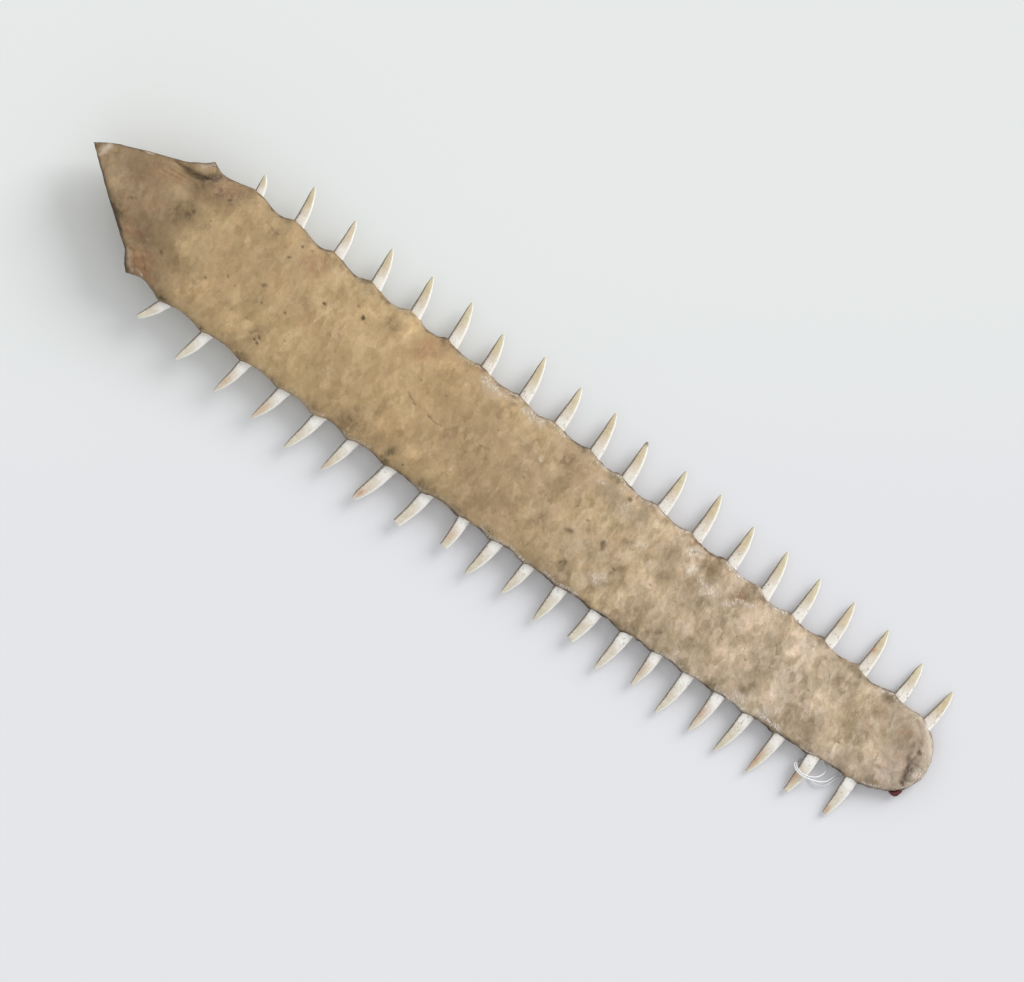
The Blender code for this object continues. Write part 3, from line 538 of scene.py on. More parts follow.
class Shading:
    """A Principled material and the nodes that feed it."""

    def __init__(self, name, roughness, specular):
        self.material = bpy.data.materials.new(name)
        self.material.use_nodes = True
        self.tree = self.material.node_tree
        self.shader = self.tree.nodes["Principled BSDF"]
        self.shader.inputs["Roughness"].default_value = roughness
        self.shader.inputs["Specular IOR Level"].default_value = specular
        self.mm = self.vector("SCALE", self.node("TexCoord").outputs["Object"], scale=1.0 / MM)

    def feed(self, node, inputs):
        """Links or sets inputs of a node. None leaves one as it is."""
        for key, value in inputs.items():
            if isinstance(value, bpy.types.NodeSocket):
                self.tree.links.new(value, node.inputs[key])
            elif isinstance(value, tuple):
                node.inputs[key].default_value = value[:len(node.inputs[key].default_value)]
            elif value is not None:
                node.inputs[key].default_value = value

    def node(self, kind, inputs=None, **settings):
        node = self.tree.nodes.new("ShaderNode" + kind)
        for key, value in settings.items():
            setattr(node, key, value)
        self.feed(node, inputs or {})
        return node

    def vector(self, operation, first, second=None, scale=None):
        inputs = {0: first, 1: second, "Scale": scale}
        return self.node("VectorMath", inputs, operation=operation).outputs[0]

    def math(self, operation, first, second=0.0, clamp=False):
        return self.node("Math", {0: first, 1: second}, operation=operation, use_clamp=clamp).outputs[0]

    def plus(self, first, second):
        return self.math("ADD", first, second)

    def times(self, first, second, clamp=False):
        return self.math("MULTIPLY", first, second, clamp)

    def line(self, value, slope, start):
        return self.plus(self.times(value, slope), start)

    def swing(self, value, reach):
        """Value about its middle, 0.5, times reach."""
        return self.times(self.math("SUBTRACT", value, 0.5), reach)

    def span(self, value, low, high, to_low=0.0, to_high=1.0):
        """Smooth step of value from low to high."""
        inputs = {"Value": value, "From Min": low, "From Max": high, "To Min": to_low, "To Max": to_high}
        return self.node("MapRange", inputs, interpolation_type="SMOOTHSTEP").outputs["Result"]

    def stretch(self, x, y, z, turn=0.0):
        """Place in mm, turned about Z and stretched."""
        inputs = {"Vector": self.mm, "Rotation": (0.0, 0.0, turn), "Scale": (1.0 / x, 1.0 / y, 1.0 / z)}
        return self.node("Mapping", inputs, vector_type="TEXTURE").outputs["Vector"]

    def noise(self, size, detail, roughness, distortion=0.0, place=None):
        inputs = {"Vector": place or self.mm, "Scale": 1.0 / size, "Detail": detail,
                  "Roughness": roughness, "Distortion": distortion}
        return self.node("TexNoise", inputs).outputs["Fac"]

    def warped(self, size, amount, place=None):
        """Place in mm, pushed about by noise."""
        place = place or self.mm
        noise = self.node("TexNoise", {"Vector": place, "Scale": 1.0 / size, "Detail": 3.0})
        push = self.vector("SUBTRACT", noise.outputs["Color"], (0.5, 0.5, 0.5))
        return self.vector("ADD", place, self.vector("SCALE", push, scale=amount))

    def cells(self, size, output="Distance", place=None, soft=0.0):
        """Distance from the middle of cells of the given size, or another output."""
        inputs = {"Vector": place or self.mm, "Scale": 1.0 / size, "Smoothness": soft or None}
        return self.node("TexVoronoi", inputs, feature="SMOOTH_F1" if soft else "F1").outputs[output]

    def chance(self, size, place, soft=0.0):
        """A number from 0 to 1 that stays the same within each cell of the given size."""
        cells = self.cells(size, "Color", place, soft)
        return self.node("SeparateColor", {"Color": cells}).outputs["Red"]

    def attribute(self, name):
        return self.node("Attribute", attribute_name=name).outputs["Fac"]

    def mix(self, factor, first, second, blend="MIX"):
        inputs = {"Factor": factor, 6: first, 7: second}
        return self.node("Mix", inputs, data_type="RGBA", blend_type=blend).outputs[2]

    def tint(self, shade, rgb, share, *factors):
        """Shade taken towards a colour by a share, times any further factors."""
        for factor in factors:
            share = self.times(share, factor)
        return self.mix(share, shade, colour(*rgb))

    def ramp(self, factor, stops):
        """Colour from stops, each a place and three linear parts."""
        node = self.node("ValToRGB", {"Fac": factor})
        marks = node.color_ramp.elements
        while len(marks) < len(stops):
            marks.new(0.5)
        for mark, (place, *shade) in zip(marks, stops):
            mark.position = place
            mark.color = (*shade, 1.0)
        return node.outputs["Color"]

    def shades(self, factor, stops):
        """The same with the photo's 0 to 255 values."""
        return self.ramp(factor, [(place, *colour(*rgb)[:3]) for place, *rgb in stops])

    def dim(self, shade, factor):
        return self.vector("SCALE", shade, scale=factor)

    def bump(self, height, distance, strength=1.0, under=None):
        inputs = {"Distance": distance * MM, "Strength": strength, "Height": height, "Normal": under}
        return self.node("Bump", inputs).outputs["Normal"]

    def finish(self, shade, normal=None, roughness=None):
        self.feed(self.shader, {"Base Color": shade, "Normal": normal, "Roughness": roughness})
        return self.material


# The skin's own colour from the cut end to the free one
SKIN_ALONG = ((0.00, 166, 142, 112), (0.05, 146, 124, 97), (0.11, 143, 120, 90), (0.17, 174, 148, 111),
              (0.28, 184, 158, 119), (0.40, 179, 152, 114), (0.53, 176, 151, 119), (0.62, 181, 159, 131),
              (0.70, 188, 167, 142), (0.80, 192, 173, 151), (0.93, 190, 171, 151), (1.00, 182, 167, 152))
# Tints of the small patches that the skin is made of, as factors of its own colour
PATCH_TINTS = ((0.00, 0.78, 0.76, 0.71), (0.20, 0.90, 0.89, 0.85), (0.42, 0.97, 0.98, 0.95),
               (0.62, 1.06, 1.03, 1.01), (0.82, 1.04, 1.06, 1.09), (1.00, 1.20, 1.22, 1.24))
# Size of the patches, their strength near the cut end and far from it, and how soft they are
SKIN_PATCHES = ((7.5, 0.60, 1.00, 0.30), (3.4, 0.60, 1.00, 0.25), (1.4, 0.30, 0.45, 0.0))
MARK_COLOURS = {"brown": (116, 94, 68), "red": (158, 114, 84), "olive": (104, 91, 64),
                "grey": (170, 154, 130), "rim": (96, 79, 61)}
# Spacing of pale and dark grains, their reach, greatest strength and colour
GRAINS = ((3.3, 0.10, 0.70, (226, 214, 194)), (2.9, 0.12, 0.40, (112, 90, 64)))


def skin_material():
    s = Shading("dried_skin_look", 0.62, 0.25)
    along = s.attribute("along")
    shade = s.shades(along, SKIN_ALONG)
    distal = s.span(along, 0.35, 0.8)

    def growing(near, far):
        return s.span(distal, 0.0, 1.0, near, far)

    broad = s.noise(26.0, 3.0, 0.55, 0.4)
    small = s.noise(3.2, 3.0, 0.65, 0.3)
    fine = s.noise(0.9, 3.0, 0.7)
    upright = s.stretch(1.0, 0.45, 1.0, BLADE_SLOPE)
    streak = s.noise(2.6, 3.0, 0.65, 0.8, upright)
    brush = s.noise(8.0, 3.0, 0.6, 0.6, upright)

    shade = s.tint(shade, (197, 172, 128), s.span(broad, 0.45, 0.72, 0.0, 0.32))
    shade = s.tint(shade, (160, 134, 102), s.span(broad, 0.5, 0.28, 0.0, 0.30))
    loose = s.warped(3.0, 3.2, s.stretch(1.05, 0.62, 1.0, 0.1))
    for size, near, far, soft in SKIN_PATCHES:
        patches = s.ramp(s.chance(size, loose, soft), PATCH_TINTS)
        shade = s.mix(growing(near, far), shade, patches, "MULTIPLY")
    light = s.swing(fine, s.span(along, 0.1, 0.8, 0.22, 0.28))
    light = s.plus(light, s.swing(streak, growing(0.15, 0.7)))
    light = s.plus(light, s.swing(brush, growing(0.05, 0.6)))
    shade = s.dim(shade, s.plus(light, 1.0))

    ragged = s.plus(s.line(s.chance(2.4, loose), 1.1, 0.15), s.times(s.chance(0.9, loose), 0.7))
    pale = s.times(s.attribute("pale"), ragged, clamp=True)
    shade = s.dim(shade, s.line(pale, 0.34, 1.0))
    for name, rgb in MARK_COLOURS.items():
        shade = s.tint(shade, rgb, s.attribute(name), ragged)
    shade = s.tint(shade, (208, 193, 176), s.attribute("bare"), s.span(small, 0.3, 0.6, 0.75, 1.0))
    flecks = s.noise(0.8, 3.0, 0.7, 0.0, s.stretch(1.0, 0.5, 1.0, BLADE_SLOPE))
    shade = s.tint(shade, (230, 221, 208), s.attribute("white"), s.span(flecks, 0.52, 0.58, 0.30, 1.30))
    frayed = s.warped(1.2, 1.6)
    for size, reach, share, rgb in GRAINS:
        grains = s.span(s.cells(size, place=frayed), reach, reach * 0.4)
        shade = s.tint(shade, rgb, grains, s.span(broad, 0.44, 0.56), growing(0.1, share))
    dots = s.span(s.cells(5.0, place=frayed), 0.10, 0.03)
    shade = s.tint(shade, (100, 80, 56), dots, small, 0.9)
    # The dark value holds cracks and specks, and painted shade along the edges, round the cut and in the
    # fold's crease
    shade = s.tint(shade, (66, 54, 44), s.attribute("dark"))

    height = s.plus(s.times(s.noise(0.8, 2.0, 0.6), 0.7), s.times(s.cells(0.75), 0.35))
    normal = s.bump(height, 0.16, s.span(along, 0.1, 0.9, 0.35, 0.75))
    normal = s.bump(small, 0.30, 0.6, normal)
    return s.finish(shade, normal, s.line(small, 0.2, 0.5))


# A tooth's own colour from its root to its point
TOOTH_OUT = ((0.0, 220, 212, 199), (0.25, 212, 201, 183), (0.5, 198, 184, 158), (0.78, 190, 181, 148),
             (1.0, 204, 202, 178))


def tooth_material():
    s = Shading("tooth_look", 0.42, 0.35)
    out, across, age, pick, chalk_and_light = map(s.attribute, ("out", "across", "age", "pick", "chalk_and_light"))
    fine = s.noise(0.7, 3.0, 0.65)
    mottle = s.noise(2.2, 3.0, 0.6, 0.5)
    shade = s.shades(out, TOOTH_OUT)
    shade = s.tint(shade, (194, 188, 146), s.span(out, 0.3, 0.7), s.span(mottle, 0.35, 0.6),
                   s.span(pick, 0.0, 0.9, 0.5, 0.95))
    middle = s.span(s.math("ABSOLUTE", s.plus(across, 0.15)), 0.7, 0.1)
    shade = s.tint(shade, (200, 172, 134), middle, s.span(out, 0.25, 0.6),
                   s.span(pick, 0.9, 0.1, 0.25, 0.65))
    patches = s.ramp(s.chance(1.6, s.warped(1.5, 1.5)), PATCH_TINTS)
    shade = s.mix(0.35, shade, patches, "MULTIPLY")
    shade = s.dim(shade, s.line(mottle, 0.24, 0.89))
    # Chalky whitening, far stronger on the lower row: partly the teeth's own pale colour, partly painted
    # light that makes the lower row brighter than the upper
    shade = s.tint(shade, (243, 239, 231), chalk_and_light, s.span(mottle, 0.3, 0.7, 0.6, 1.0),
                   s.span(out, 0.05, 0.55, 1.5, 0.75))
    collar = s.span(s.plus(out, s.times(mottle, 0.14)), 0.31, 0.24)
    shade = s.tint(shade, (250, 248, 243), collar, chalk_and_light)
    # Painted highlight: the front edge of each tooth made near white, where the light falls on it
    painted_highlight_front = s.span(s.plus(across, s.times(fine, 0.4)), 0.7, 1.05)
    shade = s.tint(shade, (250, 248, 243), painted_highlight_front, 0.9)
    # Painted shade: a dark line along the rear edge of each tooth, in its groove
    painted_shade_rear = s.span(s.plus(across, s.times(fine, -0.5)), -0.85, -1.15)
    shade = s.tint(shade, (104, 92, 74), painted_shade_rear, 0.9)
    torn = s.noise(0.9, 4.0, 0.7, 0.3, s.stretch(1.2, 0.4, 1.2))
    pits = s.times(s.span(torn, 0.56, 0.62), s.span(out, 0.8, 0.1))
    pits = s.times(pits, s.span(mottle, 0.42, 0.58))
    pits = s.times(pits, s.span(age, 0.1, 0.9, 0.35, 1.0))
    shade = s.tint(shade, (112, 96, 76), pits, 0.8)
    shade = s.tint(shade, (196, 132, 94), s.attribute("rust"))
    shade = s.tint(shade, (92, 82, 62), s.attribute("stain"))
    grain = s.noise(0.5, 3.0, 0.6, 0.0, s.stretch(1.0, 0.35, 1.0))
    normal = s.bump(s.plus(grain, s.times(pits, -0.8)), 0.10, 0.8)
    return s.finish(shade, normal, s.line(mottle, 0.25, 0.32))


# Colours of the cut end from the skin inwards
CUT_LAYERS = ((0.0, 126, 98, 70), (0.16, 190, 170, 138), (0.4, 198, 178, 146), (0.6, 172, 140, 104),
              (1.0, 158, 124, 90))


def cut_material():
    s = Shading("cut_cartilage_look", 0.7, 0.2)
    fibre = s.noise(0.9, 4.0, 0.65, 0.6, s.stretch(0.3, 1.0, 1.0))
    blotch = s.noise(4.5, 3.0, 0.6, 0.4)
    shade = s.dim(s.shades(s.attribute("layer"), CUT_LAYERS), s.line(fibre, 0.5, 0.72))
    shade = s.tint(shade, (120, 88, 60), s.span(blotch, 0.52, 0.7, 0.0, 0.5))
    shade = s.tint(shade, (58, 42, 30), s.attribute("canal"))
    return s.finish(shade, s.bump(fibre, 0.45))


def nylon_material():
    s = Shading("nylon_look", 0.22, 0.6)
    haze = s.noise(1.2, 2.0, 0.5)
    s.shader.inputs["Transmission Weight"].default_value = 0.12
    shade = s.mix(haze, colour(240, 241, 243), colour(252, 252, 253))
    return s.finish(shade, s.bump(haze, 0.04, 0.5))


def chip_material():
    s = Shading("dried_tissue_look", 0.35, 0.5)
    blotch = s.noise(1.6, 4.0, 0.65, 0.5)
    shade = s.mix(s.span(blotch, 0.4, 0.65), colour(78, 28, 28), colour(120, 44, 40))
    shade = s.tint(shade, (52, 22, 22), s.span(s.noise(0.6, 3.0, 0.6), 0.6, 0.75, 0.0, 0.7))
    return s.finish(shade, s.bump(blotch, 0.35))


def floor_material():
    s = Shading("floor_look", 0.55, 0.2)
    place = s.stretch(-math.sin(BLADE_SLOPE), math.cos(BLADE_SLOPE), 1.0)
    parts = s.node("SeparateXYZ", {0: place}).outputs
    up = s.plus(parts["X"], parts["Y"])
    return s.finish(s.mix(s.span(up, -60.0, 120.0), colour(229, 230, 234), colour(231, 234, 233)))


# Camera and light

def make_camera():
    centre = on_blade(IMAGE_SIZE[0] / 2, IMAGE_SIZE[1] / 2)
    distance = IMAGE_SIZE[0] * PIXEL * LENS / SENSOR
    data = bpy.data.cameras.new("camera")
    data.lens = LENS
    data.sensor_width = SENSOR
    data.clip_end = CAMERA_REACH
    camera = link(bpy.data.objects.new("camera", data))
    camera.location = to_metres((*centre, SKIN_LEVEL + distance))
    camera.rotation_euler = (0.0, 0.0, BLADE_SLOPE)
    bpy.context.scene.camera = camera


def make_light():
    bearing = BLADE_SLOPE + math.radians(SUN_BEARING)
    height = math.radians(SUN_HEIGHT)
    flat = math.cos(height)
    towards = Vector((math.cos(bearing) * flat, math.sin(bearing) * flat, math.sin(height)))
    data = bpy.data.lights.new("soft_light", "SUN")
    data.energy = SUN_SHARE * math.pi / math.sin(height)
    data.angle = math.radians(SUN_WIDTH)
    lamp = link(bpy.data.objects.new("soft_light", data))
    lamp.rotation_mode = "QUATERNION"
    lamp.rotation_quaternion = towards.to_track_quat("Z", "Y")
    lamp.location = towards * LAMP_DISTANCE
    world = bpy.data.worlds.new("studio")
    world.use_nodes = True
    sky = world.node_tree.nodes["Background"]
    sky.inputs["Color"].default_value = (1.0, 1.0, 1.0, 1.0)
    sky.inputs["Strength"].default_value = 1.0 - SUN_SHARE
    bpy.context.scene.world = world
    bpy.context.scene.view_settings.view_transform = "Standard"


def make_floor():
    half = FLOOR_SIZE / 2
    mesh = bpy.data.meshes.new("floor")
    corners = [(-half, -half, 0), (half, -half, 0), (half, half, 0), (-half, half, 0)]
    mesh.from_pydata(corners, [], [(0, 1, 2, 3)])
    mesh.materials.append(floor_material())
    floor = link(bpy.data.objects.new("floor", mesh))


# Filament

ROUTE_STEPS, ROUTE_POINTS = 24, 320
KNOT_WRAPS, KNOT_POINTS = 2.5, 70
STRAND_ROUNDING = 4


def smooth_route(points, count):
    """Evenly spaced points on a smooth curve through the route's own points."""
    route = np.array((points[0], *points, points[-1]))
    fine = [curve_between(*route[i:i + 4], t) for i in range(len(points) - 1)
            for t in np.linspace(0.0, 1.0, ROUTE_STEPS, endpoint=False)]
    fine = np.array([*fine, points[-1]])
    travel = np.concatenate([[0.0], np.cumsum(np.linalg.norm(np.diff(fine, axis=0), axis=1))])
    stops = np.linspace(0.0, travel[-1], count)
    return np.column_stack([np.interp(stops, travel, fine[:, k]) for k in range(3)])


def make_strand(name, route, material):
    """Round filament along points in mm."""
    curve = bpy.data.curves.new(name, "CURVE")
    curve.dimensions = "3D"
    curve.bevel_depth = FILAMENT / 2 * MM
    curve.bevel_resolution = STRAND_ROUNDING
    curve.use_fill_caps = True
    curve.materials.append(material)
    spline = curve.splines.new("POLY")
    spline.points.add(len(route) - 1)
    for point, place in zip(spline.points, to_metres(route)):
        point.co = (*place, 1.0)
    return link(bpy.data.objects.new(name, curve))


def make_loop():
    """Filament round the twentieth lower tooth, and the knot that it ends in."""
    material = nylon_material()
    route = smooth_route(LOOP_ROUTE, ROUTE_POINTS)
    loop = make_strand("loop_strand", route, material)
    turns = np.linspace(0.0, 2 * math.pi * KNOT_WRAPS, KNOT_POINTS)
    share = np.linspace(-0.5, 0.5, KNOT_POINTS)
    reach = (np.array(KNOT_SIZE) - FILAMENT) / 2
    wraps = np.column_stack([KNOT_CENTRE[0] + 2 * reach[0] * share,
                             KNOT_CENTRE[1] + reach[1] * np.cos(turns),
                             KNOT_CENTRE[2] + reach[2] * np.sin(turns)])
    knot = make_strand("knot_wraps", wraps, material)
    for piece, node in ((loop, "tag_loop"), (knot, "tag_knot")):
        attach(piece, "root")
        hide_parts(node)


# Skin

# Curled fold: where it rises and ends along x, how far from its crease it rises and sags again
FOLD_RISES, FOLD_ENDS = (37.5, 41.0), (60.0, 64.0)
FOLD_SIDE, FOLD_SAGS, FOLD_SAG = (0.1, 2.2), (3.0, 8.5), 0.45
CREASE_HALF = 0.45
# Least height and greatest step back of the row inside the cut's rim
SKIN_EDGE_LEAST, SKIN_EDGE_BACK = 0.2, 1.0
CUT_GUESS, CUT_STEPS = 50.0, 30  # x from which the cut's rim is sought, in this many steps
# Collar round each tooth, and the range of its stain's place, size and strength
COLLAR_GAP, COLLAR_REACH, COLLAR_SOFT, COLLAR_HEIGHT = 1.1, 2.4, 0.4, 0.08
STAIN_BACK, STAIN_SIZE, STAIN_STRENGTH = (0.5, 0.9), (1.6, 3.4), (0.2, 0.7)
# Noise that moves the marks about, as (size, pixels), and the finer one of the sharp marks
WANDER, FRAY = ((7.0, 2.6), (2.4, 1.5)), (1.8, 0.9)
SPECK_PIT, BAND_PIT = 0.22, 0.25
WORN_FROM, WORN_ROUGH = (520.0, 541.0), 0.35
EDGE_ROUGH = ((100.0, 0.10), (500.0, 0.35))
RIM_REACH, RIM_ROUGH, RIM_SHIFT = 2.5, 0.12, 0.35
# For the upper and the lower edge: brown border as (strength, reach), line of painted shade, pale crumbs
BORDER = ((1.0, 1.1), (0.45, 1.2))
# Painted shade in a thin line along the edges, on the lower edge a painted contact shadow growing
# towards the free end: strengths, share on the underside, reach
EDGE_SHADE, EDGE_SHADE_BELOW, EDGE_SHADE_REACH = (0.35, 1.3), 0.55, 0.7
CRUMBS, CRUMBS_IN, CRUMBS_HALF = (0.5, 0.75), 1.2, 0.9
# Painted shadow of the cut's wall, as a dark line round the cut: strength on its lower and upper side,
# reach
CUT_SHADE, CUT_SHADE_REACH = (1.2, 0.45), 1.2
# Parts of the bake map: width of each half, where they start, and the free end's fan
MAP_WIDTH, MAP_HEIGHT, MAP_START, MAP_SECOND = 0.48, 0.96, 0.01, 0.51
MAP_FAN = (0.97, 0.985)
SKIN_SHARP, TEETH_SHARP = math.radians(50), math.radians(60)  # steeper edges aren't smoothed


def skin_columns():
    """Columns round the blade as arrays: side (1 or -1), share of the rounded margin, share of
    the rest, and 1 on the upper face or 0 on the underside."""
    half = [(1 - math.cos(math.pi / 2 * i / MARGIN_COLUMNS), 0.0) for i in range(MARGIN_COLUMNS)]
    half += [(1.0, i / FLAT_COLUMNS) for i in range(FLAT_COLUMNS)]
    top = [(1, a, b, 1) for a, b in half] + [(1, 1.0, 1.0, 1)]
    top += [(-1, a, b, 1) for a, b in reversed(half)]
    bottom = [(side, a, b, 0) for side, a, b, _ in top[-2:0:-1]]
    return np.array(top + bottom, float).T


def skin_places(x, side, margin_share, flat_share):
    """Distance from the axis, and the edge's, of each column at x."""
    width = edge(side, x)
    margin = smooth_through(MARGIN_THICKNESS, x) / 2
    margin = np.minimum(margin * ROUND_WIDE, ROUND_MOST * width)
    return width - margin_share * margin - flat_share * (width - margin), width


def fold_of_skin(x, y):
    """Height that the curled fold adds, and how deep its crease is."""
    beyond = y - np.interp(x, *np.array(CREASE).T)
    rise = smooth_through(LIP_HEIGHT, x) * step_up(beyond, *FOLD_SIDE)
    rise *= 1.0 - FOLD_SAG * step_up(beyond, *FOLD_SAGS)
    rise *= step_up(x, *FOLD_RISES) * (1.0 - step_up(x, *FOLD_ENDS))
    return rise, strokes(x, y, [(*a, *b, CREASE_HALF, 1.0) for a, b in zip(CREASE, CREASE[1:])])


def socket_marks(x, y, rng):
    """Raised collar round each tooth, and the stain on its rear side."""
    collar, stain = np.zeros_like(x), np.zeros_like(x)
    for side, teeth in ((1, UPPER_TEETH), (-1, LOWER_TEETH)):
        for place in teeth:
            root = float(edge(np.array(side), np.array(place)))
            width = float(tooth_width(place))
            out = side * y - root
            far = np.hypot((x - place) / (width / 2 + COLLAR_GAP), out / COLLAR_REACH)
            collar = np.maximum(collar, np.exp(-((far - 1.0) / COLLAR_SOFT) ** 2))
            back, reach, strength = (rng.uniform(*span)
                                     for span in (STAIN_BACK, STAIN_SIZE, STAIN_STRENGTH))
            far = np.hypot((x - place + width * back) / (reach * 1.5), (out + 1.2) / reach)
            stain = np.maximum(stain, strength * np.exp(-far**2))
    return collar, stain


def skin_grid():
    """Rows of points from the cut end to the free one, their normals and their columns' data."""
    side, margin_share, flat_share, top = skin_columns()
    start = np.full(len(side), CUT_GUESS)
    for _ in range(CUT_STEPS):
        from_axis, _ = skin_places(start, side, margin_share, flat_share)
        start = 0.5 * start + 0.5 * cut_line(side * from_axis)
    straight = LENGTH - TIP_ROUND
    x = start + (straight - start) * np.linspace(0.0, 1.0, STRAIGHT_ROWS + 1)[:, None]
    beyond = np.sin(math.pi / 2 * np.arange(1, TIP_ROWS + 1) / (TIP_ROWS + 0.6))
    x = np.vstack([x, (straight + TIP_ROUND * beyond)[:, None] + np.zeros(len(side))])
    side, top = np.broadcast_to(side, x.shape), np.broadcast_to(top, x.shape)
    from_axis, width = skin_places(x, side, margin_share, flat_share)
    low, high = section_heights(x, from_axis, width)
    points = np.stack([x, side * from_axis, np.where(top > 0, high, low)], -1)
    across = np.roll(points, -1, axis=1) - np.roll(points, 1, axis=1)
    normal = np.cross(across, np.gradient(points, axis=0))
    normal /= np.maximum(np.linalg.norm(normal, axis=-1, keepdims=True), 1e-9)
    return points, normal, side, top, width - from_axis


def turned_in(rim):
    """Two rows inside the cut: the skin's thickness in from its rim, and turned further in."""
    middle = tooth_plane(rim[:, 0])
    height = np.abs(rim[:, 2] - middle)
    inner = rim.copy()
    lower = np.minimum(np.maximum(height - SKIN_EDGE, SKIN_EDGE_LEAST), height)
    inner[:, 2] = middle + np.sign(rim[:, 2] - middle) * lower
    most = np.where(rim[:, 1] > 0, rim[:, 1].max(), -rim[:, 1].min()) - SKIN_EDGE
    most = np.minimum(most, edge(np.sign(rim[:, 1]), rim[:, 0] + SKIN_TURN) - SKIN_EDGE)
    inner[:, 1] = np.sign(rim[:, 1]) * np.minimum(np.abs(rim[:, 1]), most)
    inner[:, 0] = np.maximum(cut_line(inner[:, 1]), rim[:, 0] - SKIN_EDGE_BACK)
    return inner + (SKIN_TURN, 0.0, 0.0), inner


def skin_map(steps, rows, columns):
    """Bake map of the skin: one half of its length beside the other."""
    half = rows // 2
    second = steps[:, :1, 0] >= half
    u = steps[..., 1] / columns * MAP_WIDTH + np.where(second, MAP_SECOND, MAP_START)
    v = np.where(second, (steps[..., 0] - half) / (rows - half), steps[..., 0] / half)
    end = fan_map(columns, *MAP_FAN) * (MAP_WIDTH, 1.0) + (MAP_SECOND, 0.0)
    return np.vstack([np.stack([u, v * MAP_HEIGHT + MAP_START], -1).reshape(-1, 2), end])


